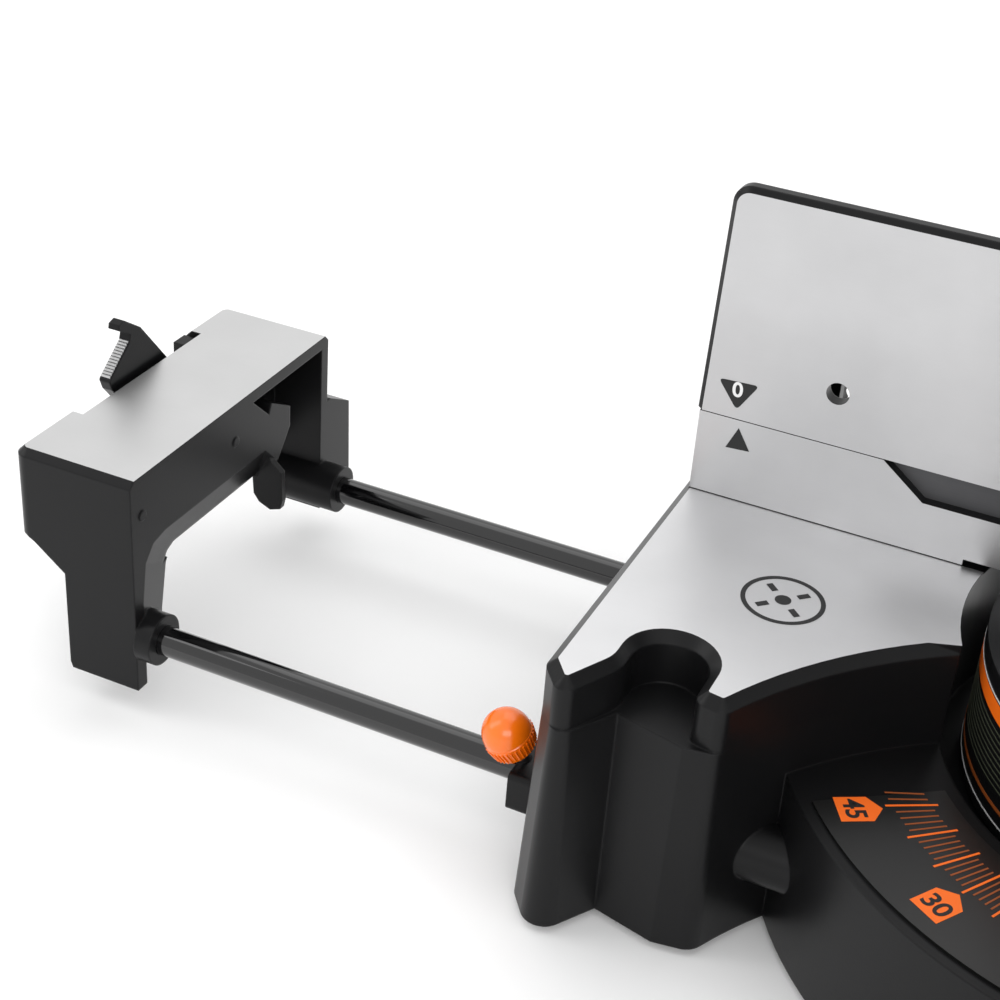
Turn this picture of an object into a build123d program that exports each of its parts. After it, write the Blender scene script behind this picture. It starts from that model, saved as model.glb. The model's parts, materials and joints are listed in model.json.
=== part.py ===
"""Compound mitre saw with sliding extension wings, modelled in build123d.

Frame: millimetres, origin on the bench plane under the mitre axis.
+X runs along the fence to the right, +Y to the back, +Z up.
"""

import os
from math import cos, radians, sin, tan

from build123d import *

os.makedirs("parts", exist_ok=True)

# ---- driving dimensions: table and base -------------------------------------------------
TABLE_Z = 118.0            # table top above the bench
FOOT_H = 4.0               # rubber feet under the casting
TABLE_X = 231.5            # half length of the base along the fence
BACK_Y = 82.0              # back edge of the base
EDGE = 4.0                 # painted chamfer around the machined table top
WALL = 6.0                 # casting wall
WELL_R = 105.0             # round opening for the turntable
SHELF_Z = 73.0             # shelf that carries the mitre scale
SHELF_R = 168.0
FLOOR_Z = 58.0             # floor of the turntable well
REAR_OPEN = 66.0           # half angle left open behind the well for the tilt bracket
POCKET_X = -191.7          # scallop in the front edge of the table
POCKET_Y = -98.5
POCKET_R = 14.8
POCKET_Z = 96.0
PAD_EDGE = ((-205.0, -111.0), (-177.3, -117.6))   # front edge of the pad in the pocket
SEAT_Z = TABLE_Z - 1.0     # seat of the fence, milled below the table top
BENCH_X = 200.0            # bench bolts, from the origin
BENCH_Y = 50.0
BENCH_HOLE_R = 4.5

# ---- fences ------------------------------------------------------------------------------
FENCE_Y = 20.0             # working face
LOWER_T = 16.0
LOWER_H = 37.0
UPPER_T = 6.5
UPPER_TOP = 253.6
FENCE_GAP = 0.4
BRIDGE_R = 108.0           # bow that ties the two fence halves together
BRIDGE_W = 14.0

# ---- extension wings ---------------------------------------------------------------------
WING_IN = -426.0           # inner and outer ends of the left wing top
WING_OUT = -484.5
WING_FRONT = -99.0
WING_BACK = 63.0
WING_FOOT_Z = 13.5
ROD_R = 6.5
ROD_Z = 38.0
ROD_FRONT = -90.0
ROD_REAR = 58.0
ROD_END = -196.0           # inner end of the rods with the wing out
WING_TRAVEL = 156.0        # inward, until the wing nears the lock knob
RUN = 0.05                 # radial running clearance of the rods

# ---- turntable ---------------------------------------------------------------------------
DRUM_R = 94.5
DRUM_Z = 61.0
ARM_END = -226.0
KERF = 13.0                # width of the slot in the kerf plate

# ---- head, drawn in the cutting position and then raised ----------------------------------
BLADE_R = 127.0
BLADE_T = 2.4
ARBOR_R = 7.9
ARBOR_Y = -5.0
ARBOR_Z = TABLE_Z + 117.0
PIVOT_Y = 165.0
PIVOT_Z = TABLE_Z + 120.0
RAISED = 40.0              # angle from the cutting position to rest
MOTOR_R = 43.0
MOTOR_Y = 8.0
MOTOR_Z = ARBOR_Z + 80.0

CHOP_AXIS = Axis((0, PIVOT_Y, PIVOT_Z), (1, 0, 0))


def save(solid, name):
    solid.label = name
    export_step(solid, f"parts/{name}.step")


def save_raised(solid, name):
    """Swings a head piece from the cutting position up to rest, and writes it."""
    save(solid.rotate(CHOP_AXIS, -RAISED), name)


def save_pair(left, name):
    """Writes a left piece and its mirror image on the right."""
    save(left, f"{name}_left")
    save(left.mirror(Plane.YZ), f"{name}_right")


def side_plane(x):
    """A sketch plane across the machine: local x is +Y, local y is +Z, normal +X."""
    return Plane(origin=(x, 0, 0), x_dir=(0, 1, 0), z_dir=(1, 0, 0))


def front_plane(y):
    """A sketch plane along the fence: local x is +X, local y is +Z, normal -Y."""
    return Plane(origin=(0, y, 0), x_dir=(1, 0, 0), z_dir=(0, -1, 0))


# ---- base casting ------------------------------------------------------------------------
def table_outline(pocket):
    """Left half of the table in plan, with or without the scallop in its front edge."""
    scallop_left = (POCKET_X - POCKET_R, POCKET_Y)
    scallop_right = (POCKET_X + POCKET_R, POCKET_Y)
    left_tip = (-220.0, -135.0)
    left_root = (POCKET_X - POCKET_R, -108.0)
    right_root = (POCKET_X + POCKET_R, -113.5)
    right_tip = (-164.5, -115.5)
    with BuildSketch(mode=Mode.PRIVATE) as outline:
        with BuildLine():
            Polyline((-60, -20), (-60, BACK_Y), (-TABLE_X, BACK_Y), (-TABLE_X, -120))
            if pocket:
                Polyline((-TABLE_X, -120), left_tip, left_root, scallop_left)
                ThreePointArc(scallop_left, (POCKET_X, POCKET_Y + POCKET_R), scallop_right)
                Polyline(scallop_right, right_root, right_tip)
            else:
                Polyline((-TABLE_X, -120), left_tip, *PAD_EDGE, right_tip)
            ThreePointArc(right_tip, (-134.5, -68.5), (-97.5, -34.5))
            Line((-97.5, -34.5), (-60, -20))
        make_face()
        corners = [((-TABLE_X, -120), 6), (left_tip, 5), (right_tip, 5)]
        if pocket:
            corners += [(left_root, 20), (right_root, 5)]
        for (x, y), radius in corners:
            fillet(outline.vertices().sort_by_distance(Vector(x, y, 0))[0], radius)
    return outline.sketch


def rear_wedge(height, z):
    """The fan behind the well in which the tilt bracket swings."""
    reach = 320.0
    spread = radians(REAR_OPEN)
    with BuildPart(mode=Mode.PRIVATE) as wedge:
        with BuildSketch(Plane.XY.offset(z)):
            with BuildLine():
                Polyline(
                    (0, 0),
                    (-reach * sin(spread), reach * cos(spread)),
                    (reach * sin(spread), reach * cos(spread)),
                    close=True,
                )
            make_face()
        extrude(amount=height)
    return wedge.part


# one table top, with the scallop and the painted chamfer along its front and end
with BuildPart(mode=Mode.PRIVATE) as table_top:
    with BuildSketch(Plane.XY.offset(POCKET_Z)):
        add(table_outline(pocket=True))
    extrude(amount=TABLE_Z - POCKET_Z)
    rim = [
        e for e in table_top.edges().group_by(Axis.Z)[-1]
        if e.center().X < -100 and e.center().Y < BACK_Y - 4
    ]
    chamfer(rim, EDGE)
    mirror(about=Plane.YZ)

with BuildPart() as base:
    # lower body, with draft on its walls
    with BuildSketch(Plane.XY.offset(POCKET_Z)):
        add(table_outline(pocket=False))
        mirror(about=Plane.YZ)
    extrude(amount=-(POCKET_Z - FOOT_H), taper=-2.5)
    # round shelf for the mitre scale, joined to the lower body
    with BuildSketch(Plane.XY.offset(FOOT_H)):
        Circle(SHELF_R)
        with Locations((0, 200)):
            Rectangle(400, 400 - 2 * 20, mode=Mode.SUBTRACT)
        with Locations((0, BACK_Y - 60)):
            Rectangle(2 * 120, 120)
    extrude(amount=SHELF_Z - FOOT_H)
    add(table_top)
    # turntable well and the opening behind it
    with BuildSketch(Plane.XY.offset(FLOOR_Z)):
        Circle(WELL_R)
    extrude(amount=TABLE_Z, mode=Mode.SUBTRACT)
    add(rear_wedge(TABLE_Z, FLOOR_Z), mode=Mode.SUBTRACT)
    # hollow underneath
    with BuildSketch(Plane.XY):
        with BuildLine():
            Polyline(
                (-TABLE_X + 4, BACK_Y - WALL), (-TABLE_X + 4, -108), (-212, -108),
                (-200, -103), (-165, -103), (-140, -76), (-110, -115), (-60, -150), (0, -158),
                (60, -150), (110, -115), (140, -76), (165, -103), (200, -103), (212, -108),
                (TABLE_X - 4, -108), (TABLE_X - 4, BACK_Y - WALL), close=True,
            )
        make_face()
    extrude(amount=FLOOR_Z - WALL, mode=Mode.SUBTRACT)
    for side in (-1, 1):
        with BuildSketch(Plane.XY.offset(FLOOR_Z - WALL - 1)):
            with BuildLine():
                Polyline(
                    (side * (TABLE_X - WALL), BACK_Y - WALL), (side * (TABLE_X - WALL), -108),
                    (side * 212, -106), (side * 195, -103), (side * 172, -103), (side * 150, -72),
                    (side * 122, -40), (side * 122, 40), (side * 180, BACK_Y - WALL), close=True,
                )
            make_face()
        extrude(amount=POCKET_Z - WALL - (FLOOR_Z - WALL - 1), mode=Mode.SUBTRACT)
        # the table top is a plate about 7 mm thick in front of the fence
        with BuildSketch(Plane.XY.offset(POCKET_Z - WALL - 1)):
            Polygon((side * 222, -68), (side * 148, -68), (side * 123, -43), (side * 123, 11),
                    (side * 222, 11), align=None)
        extrude(amount=TABLE_Z - 7 - (POCKET_Z - WALL - 1), mode=Mode.SUBTRACT)
        with BuildSketch(Plane.XY.offset(SEAT_Z)):
            with Locations((side * 160, (FENCE_Y + BACK_Y) / 2 + 5)):
                Rectangle(160, BACK_Y - FENCE_Y + 10)
        extrude(amount=5, mode=Mode.SUBTRACT)
    # bosses that guide the rods, then the rod holes and the relief for the pushed-in rods
    for side in (-1, 1):
        with BuildSketch(side_plane(side * 170)):
            with Locations((ROD_FRONT, ROD_Z)):
                Circle(ROD_R + 6)
        extrude(amount=-side * 46)
        with BuildSketch(side_plane(side * (TABLE_X - 2))):
            with Locations((ROD_FRONT, ROD_Z), (ROD_REAR, ROD_Z)):
                Circle(ROD_R + 6)
        extrude(amount=-side * 28)
        with BuildSketch(side_plane(side * (TABLE_X + 20))):
            with Locations((ROD_FRONT, ROD_Z), (ROD_REAR, ROD_Z)):
                Circle(ROD_R + RUN)
        extrude(amount=-side * 60, mode=Mode.SUBTRACT)
        with BuildSketch(side_plane(side * (TABLE_X - 30))):
            with Locations((ROD_FRONT, ROD_Z), (ROD_REAR, ROD_Z)):
                Circle(ROD_R + 1)
        extrude(amount=-side * (TABLE_X - 30 + ROD_END + WING_TRAVEL - 4), mode=Mode.SUBTRACT)
    # boss of the mitre pivot
    with Locations((0, 0, FLOOR_Z - 10)):
        Cylinder(14, 20)
    with Locations((0, 0, FLOOR_Z)):
        Hole(6.05, 30)
    # bench bolt bosses on tabs inside the end walls
    for side in (-1, 1):
        for y in (-BENCH_Y, BENCH_Y):
            with Locations((side * (BENCH_X + 12), y, 8)):
                Box(44, 20, 8)
            with Locations((side * BENCH_X, y, 6)):
                Cylinder(11, 12)
                Hole(BENCH_HOLE_R, 20)
print("base", base.part.is_valid, len(base.part.solids()), base.part.volume)
save(base.part, "base_casting")

with BuildPart() as feet:
    with BuildSketch(Plane.XY):
        with Locations((-212, -104), (212, -104), (-212, 66), (212, 66)):
            Circle(9)
    extrude(amount=FOOT_H)
    fillet(feet.edges().group_by(Axis.Z)[0], 1.2)
save(feet.part, "rubber_feet")

# a flat printed plate on each side of the scale shelf
PLATE_T = 1.2
with BuildPart() as scale_plate:
    with BuildSketch(Plane.XY.offset(SHELF_Z)):
        Circle(SHELF_R - 5)
        Circle(WELL_R + 6, mode=Mode.SUBTRACT)
        with BuildLine():
            Polyline((0, 0), (-300 * sin(radians(54)), -300 * cos(radians(54))),
                     (-300 * sin(radians(8)), -300 * cos(radians(8))), close=True)
        make_face(mode=Mode.INTERSECT)
    extrude(amount=PLATE_T)
    mirror(about=Plane.YZ)
save(scale_plate.part, "mitre_scale_plate")


# ---- fences ------------------------------------------------------------------------------
LOWER_TOP = TABLE_Z + LOWER_H
CUT_Z = TABLE_Z + 22.8          # lowered middle of the fence
CUT_X = (-150.6, -132.3)        # start and end of the slope down to it
FOOT_T = 9.0                    # flange that bolts down behind the fence
RELIEF = 0.4
BOLT_XS = (220.0, 157.0)
BOLT_Y = FENCE_Y + LOWER_T + 19
CLAMP_X = 190.0                 # clamp screw of the sliding fence
SCREW_Z = LOWER_TOP + 2

with BuildPart() as lower_fence:
    with BuildSketch(front_plane(FENCE_Y)):
        with BuildLine():
            Polyline((-228, SEAT_Z), (-228, LOWER_TOP), (-52, LOWER_TOP), (-46, CUT_Z),
                     (-42, TABLE_Z + 3), (-112, TABLE_Z + 3), (-112, SEAT_Z), close=True)
        make_face()
    extrude(amount=-LOWER_T)
    # the front skin is cut away above the middle, down a slope
    with BuildSketch(front_plane(FENCE_Y)):
        with BuildLine():
            Polyline((CUT_X[0], LOWER_TOP + 1), (CUT_X[0], LOWER_TOP), (CUT_X[1], CUT_Z),
                     (-30, CUT_Z), (-30, LOWER_TOP + 1), close=True)
        make_face()
    extrude(amount=-5, mode=Mode.SUBTRACT)
    # relief for sawdust along the bottom of the face, so that a board touches the face alone
    with BuildSketch(front_plane(FENCE_Y)):
        with Locations((-172, SEAT_Z)):
            Rectangle(130, 2 * (TABLE_Z + RELIEF - SEAT_Z))
    extrude(amount=-RELIEF, mode=Mode.SUBTRACT)
    # foot that bolts down behind the fence
    with BuildSketch(Plane.XY.offset(SEAT_Z)):
        with Locations((-188, FENCE_Y + LOWER_T + 13)):
            Rectangle(80, 28)
    extrude(amount=FOOT_T)
    with Locations(*[(-x, BOLT_Y, SEAT_Z + FOOT_T) for x in BOLT_XS]):
        Hole(4.05, FOOT_T)
    # post that carries the clamp screw of the sliding fence
    with BuildSketch(Plane.XY.offset(SEAT_Z + FOOT_T - 1)):
        with Locations((-CLAMP_X, FENCE_Y + LOWER_T + 14.5)):
            Rectangle(24, 7)
    extrude(amount=LOWER_TOP + 14 - (SEAT_Z + FOOT_T - 1))
    with BuildSketch(front_plane(FENCE_Y + LOWER_T + 8)):
        with Locations((-CLAMP_X, SCREW_Z)):
            Circle(3.55)
    extrude(amount=-20, mode=Mode.SUBTRACT)
    mirror(about=Plane.YZ)
    # bow behind the blade
    with BuildSketch(Plane.XY.offset(TABLE_Z + 0.5)):
        Circle(BRIDGE_R + BRIDGE_W)
        Circle(BRIDGE_R, mode=Mode.SUBTRACT)
        with Locations((0, FENCE_Y + LOWER_T + 150)):
            Rectangle(400, 300, mode=Mode.INTERSECT)
    extrude(amount=14)
save(lower_fence.part, "lower_fence")

with BuildPart() as fence_bolts:
    bolts = [(side * x, BOLT_Y) for side in (-1, 1) for x in BOLT_XS]
    with BuildSketch(Plane.XY.offset(SEAT_Z + FOOT_T)):
        with Locations(*bolts):
            Circle(6.5)
    extrude(amount=7)
    with BuildSketch(Plane.XY.offset(SEAT_Z + FOOT_T + 7)):
        with Locations(*bolts):
            RegularPolygon(2.9, 6)
    extrude(amount=-4, mode=Mode.SUBTRACT)
    with BuildSketch(Plane.XY.offset(SEAT_Z + FOOT_T)):
        with Locations(*bolts):
            Circle(4)
    extrude(amount=-FOOT_T)
save(fence_bolts.part, "fence_bolts")

UPPER_Z = LOWER_TOP + FENCE_GAP
RIM = 2.2                  # painted chamfer along the top and the outer end
HOLE_Z = TABLE_Z + 60.1    # hole for a wooden extra fence
with BuildPart() as upper_fence:
    with BuildSketch(front_plane(FENCE_Y)) as plate:
        with BuildLine():
            Polyline((-229.4, UPPER_Z), (-226.7, UPPER_TOP), (-104, UPPER_TOP),
                     (-78, UPPER_Z + 14), (-76, UPPER_Z), close=True)
        make_face()
        fillet(plate.vertices().sort_by_distance(Vector(-226.7, UPPER_TOP, 0))[0], 7.5)
    extrude(amount=-UPPER_T)
    front = upper_fence.edges().group_by(Axis.Y)[0]
    chamfer([e for e in front if e.center().X < -90 and e.center().Z > UPPER_Z + 5], RIM)
    with BuildSketch(front_plane(FENCE_Y - 1)):
        with Locations((-173.2, HOLE_Z)):
            Circle(4.7)
    extrude(amount=-UPPER_T - 2, mode=Mode.SUBTRACT)
    # flange over the lower fence, and the rail that runs behind it
    with BuildSketch(side_plane(-215)) as rail:
        with BuildLine():
            Polyline((FENCE_Y + UPPER_T - 1, UPPER_Z), (FENCE_Y + LOWER_T + 1, UPPER_Z),
                     (FENCE_Y + LOWER_T + 1, UPPER_Z - 22), (FENCE_Y + LOWER_T + 10, UPPER_Z - 22),
                     (FENCE_Y + LOWER_T + 10, UPPER_Z + 5.6), (FENCE_Y + UPPER_T - 1, UPPER_Z + 5.6),
                     close=True)
        make_face()
    extrude(amount=110)
save_pair(upper_fence.part, "upper_fence")

# clamp screw and star knob that hold the sliding fence
KNOB_Y = FENCE_Y + LOWER_T + 10.4
with BuildPart() as fence_knob:
    with BuildSketch(front_plane(KNOB_Y)):
        with Locations((-CLAMP_X, SCREW_Z)):
            Circle(3.5)
    extrude(amount=-14)
    with BuildSketch(front_plane(KNOB_Y + 8)):
        with Locations((-CLAMP_X, SCREW_Z)):
            Circle(12)
            with PolarLocations(14.5, 6):
                Circle(4.2, mode=Mode.SUBTRACT)
    extrude(amount=-13)
save_pair(fence_knob.part, "fence_lock_knob")


# ---- extension wing, drawn on the left ---------------------------------------------------
WING_LEG_OUT = -461.4      # the leg is narrower than the top
WING_STEP_Z = 76.0
LEG_END_Z = 24.0           # everything but the front foot ends here
FOOT_BACK = -92.0
DEEP_X = -434.0            # bottom of the shallow recess round the arch
WING_X = (WING_IN + WING_OUT) / 2
STOP_Y = -9.0              # pivot of the flip stop
STOP_Z = TABLE_Z - 14.0
NOTCH_X = -476.3           # wall of the notch in which the stop turns
# outline of the shallow recess, then of the arch cut through it, as (y, z)
RECESS = ((-92.6, 8), (-92.6, 56.5), (-90.0, 74.5), (-84.0, 81.5), (-75.0, 83.5), (6.0, 82.5),
          (17.0, 72.0), (17.0, 8))
ARCH = ((-69.5, 8), (-68.0, 36.0), (-64.0, 58.0), (-61.5, 62.0), (-57.0, 64.2), (10.0, 63.6),
        (17.0, 60.0), (17.0, 8))

with BuildPart() as wing:
    with BuildSketch(Plane.XY.offset(WING_FOOT_Z)) as plan:
        with Locations((WING_X, (WING_FRONT + WING_BACK) / 2)):
            Rectangle(WING_IN - WING_OUT, WING_BACK - WING_FRONT)
        fillet(plan.vertices().filter_by(lambda v: v.X < WING_X), 6)
    extrude(amount=TABLE_Z - WING_FOOT_Z)
    chamfer(wing.edges().group_by(Axis.Z)[-1].filter_by(lambda e: e.center().X < WING_IN - 3), 3)
    # the outer face steps in to a narrower leg
    with BuildSketch(front_plane(WING_FRONT - 5)) as step:
        with BuildLine():
            Polyline((WING_OUT - 5, WING_STEP_Z), (WING_OUT + 4, WING_STEP_Z), (WING_OUT + 8, WING_STEP_Z - 2),
                     (WING_LEG_OUT, WING_STEP_Z - 13.5), (WING_LEG_OUT, WING_FOOT_Z + 3),
                     (WING_LEG_OUT + 3, WING_FOOT_Z - 5), (WING_OUT - 5, WING_FOOT_Z - 5), close=True)
        make_face()
        fillet(step.vertices().filter_by(lambda v: v.X > WING_OUT and v.Z > WING_FOOT_Z + 4), 4)
    extrude(amount=-(WING_BACK - WING_FRONT + 10), mode=Mode.SUBTRACT)
    # only the front plate reaches down to the foot
    with BuildSketch(Plane.XY.offset(WING_FOOT_Z - 5)):
        with Locations((WING_X, (FOOT_BACK + WING_BACK) / 2 + 5)):
            Rectangle(90, WING_BACK - FOOT_BACK + 10)
    extrude(amount=LEG_END_Z - WING_FOOT_Z + 5, mode=Mode.SUBTRACT)
    # shallow recess that slopes in towards the arch, then the arch itself
    with BuildSketch(side_plane(WING_IN + 0.01)):
        Polygon(*RECESS, align=None)
    with BuildSketch(side_plane(DEEP_X)):
        Polygon(*ARCH, align=None)
    loft(ruled=True, mode=Mode.SUBTRACT)
    with BuildSketch(side_plane(WING_OUT - 2)):
        Polygon(*ARCH, align=None)
    extrude(amount=80, mode=Mode.SUBTRACT)
    # deep recess at the back, towards the saw
    with BuildSketch(side_plane(WING_IN + 1)):
        with BuildLine():
            Polyline((-4.3, TABLE_Z - 6), (57, TABLE_Z - 6), (57, LEG_END_Z + 4), (16.9, LEG_END_Z + 4),
                     (16.9, 71), (28, 85), (28, 95.5), (11.5, 104.5), (9.3, 99.5), close=True)
        make_face()
    extrude(amount=-27, mode=Mode.SUBTRACT)
    # the back leg is only the end wall: in front of it the arch runs on
    with BuildSketch(side_plane(WING_OUT - 2)):
        Polygon((16, 8), (57, 8), (57, 54), (16, 60), align=None)
    extrude(amount=80, mode=Mode.SUBTRACT)
    # the top is hollow from below
    with BuildSketch(Plane.XY.offset(60)):
        with Locations((-444, -32)):
            Rectangle(22, 84)
    extrude(amount=TABLE_Z - 7 - 60, mode=Mode.SUBTRACT)
    # notch for the flip stop in the outer edge
    with BuildSketch(Plane.XY.offset(TABLE_Z - 30)):
        with Locations(((NOTCH_X + WING_OUT - 8) / 2, -15)):
            Rectangle(NOTCH_X - WING_OUT + 8, 92)
    extrude(amount=40, mode=Mode.SUBTRACT)
    with BuildSketch(side_plane(WING_OUT - 4)):
        with Locations((STOP_Y, STOP_Z)):
            Circle(3)
    extrude(amount=20, mode=Mode.SUBTRACT)
    # lug at the back of the notch
    with BuildSketch(Plane.XY.offset(TABLE_Z - 30)):
        with Locations((NOTCH_X - 3.5, 24.5)):
            Rectangle(9, 9)
    extrude(amount=28)
    # rear step
    with BuildSketch(side_plane(WING_IN - 26)):
        with BuildLine():
            Polyline((WING_BACK - 1, LEG_END_Z + 1), (WING_BACK - 1, 82), (WING_BACK + 3, 82),
                     (WING_BACK + 22, 72), (WING_BACK + 24, LEG_END_Z + 1), close=True)
        make_face()
    extrude(amount=26)
    # rod bosses
    with BuildSketch(side_plane(WING_IN - 9)):
        with Locations((ROD_FRONT, ROD_Z)):
            Circle(11.5)
    extrude(amount=17)
    with BuildSketch(side_plane(WING_IN - 30)):
        with Locations((ROD_REAR, ROD_Z)):
            Circle(11.5)
    extrude(amount=42)
    with BuildSketch(Plane.XY.offset(WING_FOOT_Z)):
        with Locations((WING_IN - 20, WING_FRONT - 5)):
            Rectangle(40, 10)
    extrude(amount=60, mode=Mode.SUBTRACT)
    with BuildSketch(side_plane(WING_IN - 16)):
        with Locations((ROD_FRONT, ROD_Z), (ROD_REAR, ROD_Z)):
            Circle(ROD_R)
    extrude(amount=60, mode=Mode.SUBTRACT)
    # tab that hangs from the arch
    with BuildSketch(front_plane(11)) as tab:
        with BuildLine():
            Polyline((-436.5, 70), (-435.5, 54), (-432.5, 50), (-426.5, 47.5), (-421.0, 49.5), (-420.0, 54),
                     (-420.6, 69), (-426.0, 73.5), (-431.0, 85), (-436.5, 85), close=True)
        make_face()
    extrude(amount=-3.5)
    # two ejector marks on the inner face
    for y in (-91, -19):
        with BuildSketch(side_plane(WING_IN - 1)):
            with Locations((y, 99)):
                Circle(2.4)
        extrude(amount=1.5)
print("wing", wing.part.is_valid, len(wing.part.solids()), wing.part.volume)
save_pair(wing.part, "wing_casting")

with BuildPart() as rods:
    for y in (ROD_FRONT, ROD_REAR):
        with BuildSketch(side_plane(WING_IN - 16)):
            with Locations((y, ROD_Z)):
                Circle(ROD_R)
        extrude(amount=ROD_END - WING_IN + 16)
    chamfer(rods.edges().group_by(Axis.X)[-1], 1)
save_pair(rods.part, "wing_rods")

# flip stop, standing part way up, on its pin
with BuildPart() as flip_stop:
    with BuildSketch(side_plane(WING_OUT - 0.5)) as blade_shape:
        with BuildLine():
            Polyline((12.5, -9.5), (-13, 21), (-24.8, 29), (-28.5, 28), (-29, 25.5), (-20.5, 20.5),
                     (-21.5, 17), (-37.5, 4.2), (-35.5, -1), (-20, -20), (5, -20), close=True)
        make_face()
        for corner in ((-20, -20), (5, -20), (-29, 25.5)):
            spot = Vector(WING_OUT - 0.5, *corner)
            fillet(blade_shape.vertices().sort_by_distance(spot)[0], 1.5)
    extrude(amount=6)
    fillet(flip_stop.edges().group_by(Axis.X)[0], 0.8)
    with BuildSketch(side_plane(WING_OUT - 4)):
        with Locations((STOP_Y, STOP_Z - TABLE_Z)):
            Circle(3.05)
    extrude(amount=20, mode=Mode.SUBTRACT)
save_pair(Pos(0, 0, TABLE_Z) * flip_stop.part, "flip_stop")

with BuildPart() as stop_pin:
    with BuildSketch(side_plane(WING_OUT - 1.2)):
        with Locations((STOP_Y, STOP_Z)):
            Circle(3)
    extrude(amount=16)
    with BuildSketch(side_plane(WING_OUT - 1.2)):
        with Locations((STOP_Y, STOP_Z)):
            Circle(5)
    extrude(amount=-2)
    fillet(stop_pin.edges().group_by(Axis.X)[0], 0.9)
save_pair(stop_pin.part, "flip_stop_pin")


# ---- turntable ---------------------------------------------------------------------------
with BuildPart() as turntable:
    with BuildSketch(Plane.XY.offset(DRUM_Z)):
        Circle(DRUM_R)
    extrude(amount=TABLE_Z - DRUM_Z - 0.3)
    # front arm, narrowing to clear the table at full mitre
    with BuildSketch(Plane.XY.offset(78)):
        with BuildLine():
            Polyline((-34, -60), (-34, -120), (-24, -178), (-22, ARM_END), (22, ARM_END), (24, -178),
                     (34, -120), (34, -60), close=True)
        make_face()
    extrude(amount=TABLE_Z - 0.3 - 78)
    # tail that reaches under the fence bow to the tilt bracket
    with BuildSketch(Plane.XY.offset(DRUM_Z + 3)):
        with Locations((0, 105)):
            Rectangle(60, 42)
    extrude(amount=50)
    with BuildSketch(front_plane(124)):
        with Locations((0, TABLE_Z)):
            Circle(42)
        with Locations((0, TABLE_Z + 60)):
            Rectangle(120, 80, mode=Mode.SUBTRACT)
    extrude(amount=-9.7)
    fillet(turntable.edges().filter_by(GeomType.LINE).filter_by(Axis.Z).filter_by(
        lambda e: e.center().Y < ARM_END + 1), 8)
    # trough under the kerf plate, open for the blade
    with BuildSketch(Plane.XY.offset(TABLE_Z)):
        with Locations((0, -42)):
            Rectangle(44, 274)
    extrude(amount=-4.3, mode=Mode.SUBTRACT)
    with BuildSketch(Plane.XY.offset(TABLE_Z)):
        with Locations((0, -22)):
            Rectangle(22, 210)
    extrude(amount=-26, mode=Mode.SUBTRACT)
    # hollow underside of the arm
    with BuildSketch(Plane.XY.offset(78)):
        with Locations((0, -160)):
            Rectangle(34, 110)
    extrude(amount=12, mode=Mode.SUBTRACT)
    # bores: mitre pivot, tilt pivot, handle screw
    with Locations((0, 0, DRUM_Z)):
        Hole(6.05, 20)
    with BuildSketch(front_plane(124)):
        with Locations((0, TABLE_Z)):
            Circle(7)
    extrude(amount=-20, mode=Mode.SUBTRACT)
    with BuildSketch(front_plane(ARM_END - 5)):
        with Locations((0, 97)):
            Circle(5)
    extrude(amount=-30, mode=Mode.SUBTRACT)
print("turntable", turntable.part.is_valid, len(turntable.part.solids()))
save(turntable.part, "turntable")

# kerf plate in two halves, one each side of the blade
with BuildPart() as kerf:
    with BuildSketch(Plane.XY.offset(TABLE_Z - 4.3)):
        with Locations((-(KERF / 2 + 21.7) / 2, -42)):
            Rectangle(21.7 - KERF / 2, 273.4)
    extrude(amount=3.7)
    for y in (-160, -60, 60):
        with Locations((-15, y, TABLE_Z - 0.6)):
            CounterSinkHole(2.0, 4.0, 6)
    mirror(about=Plane.YZ)
save(kerf.part, "kerf_plates")

with BuildPart() as kerf_screws:
    for y in (-160, -60, 60):
        with Locations((-15, y, TABLE_Z - 1.65), (15, y, TABLE_Z - 1.65)):
            Cone(1.9, 3.4, 1.6)
        with Locations((-15, y, TABLE_Z - 3.2), (15, y, TABLE_Z - 3.2)):
            Cylinder(1.9, 2.0)
save(kerf_screws.part, "kerf_screws")

# mitre lock: a screw in the arm with a ribbed grip, and the pointer beside it
with BuildPart() as mitre_lock:
    with BuildSketch(front_plane(ARM_END + 22)):
        with Locations((0, 97)):
            Circle(4.95)
    extrude(amount=40)
    with BuildSketch(front_plane(ARM_END - 6)):
        with Locations((0, 97)):
            Circle(13)
    extrude(amount=52)
    fillet(mitre_lock.edges().filter_by(GeomType.CIRCLE).filter_by(lambda e: e.radius > 10), 4)
    with BuildSketch(front_plane(ARM_END - 10)):
        with Locations((0, 97)):
            with PolarLocations(13.6, 8):
                Circle(2)
    extrude(amount=44, mode=Mode.SUBTRACT)
save(mitre_lock.part, "mitre_lock_handle")

DETENT_Y = ARM_END + 8
with BuildPart() as detent:
    with BuildSketch(side_plane(-8)) as lever:
        with BuildLine():
            Polyline((DETENT_Y + 4, 76), (DETENT_Y + 4, 67), (ARM_END - 4, 63), (ARM_END - 38, 60),
                     (ARM_END - 40, 65), (ARM_END - 6, 71), (ARM_END - 4, 76), close=True)
        make_face()
        fillet(lever.vertices().filter_by(lambda v: v.Y < ARM_END - 30), 2)
    extrude(amount=16)
    with BuildSketch(side_plane(-20)):
        with Locations((DETENT_Y - 2, 72)):
            Circle(2.05)
    extrude(amount=40, mode=Mode.SUBTRACT)
save(detent.part, "detent_lever")

with BuildPart() as detent_pin:
    with BuildSketch(side_plane(-14)):
        with Locations((DETENT_Y - 2, 72)):
            Circle(2)
    extrude(amount=28)
    for x in (-13.5, 9.5):
        with BuildSketch(side_plane(x)):
            with Locations((DETENT_Y - 2, 73.8)):
                Rectangle(8, 8.4)
        extrude(amount=4)
save(detent_pin.part, "detent_bracket")

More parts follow.
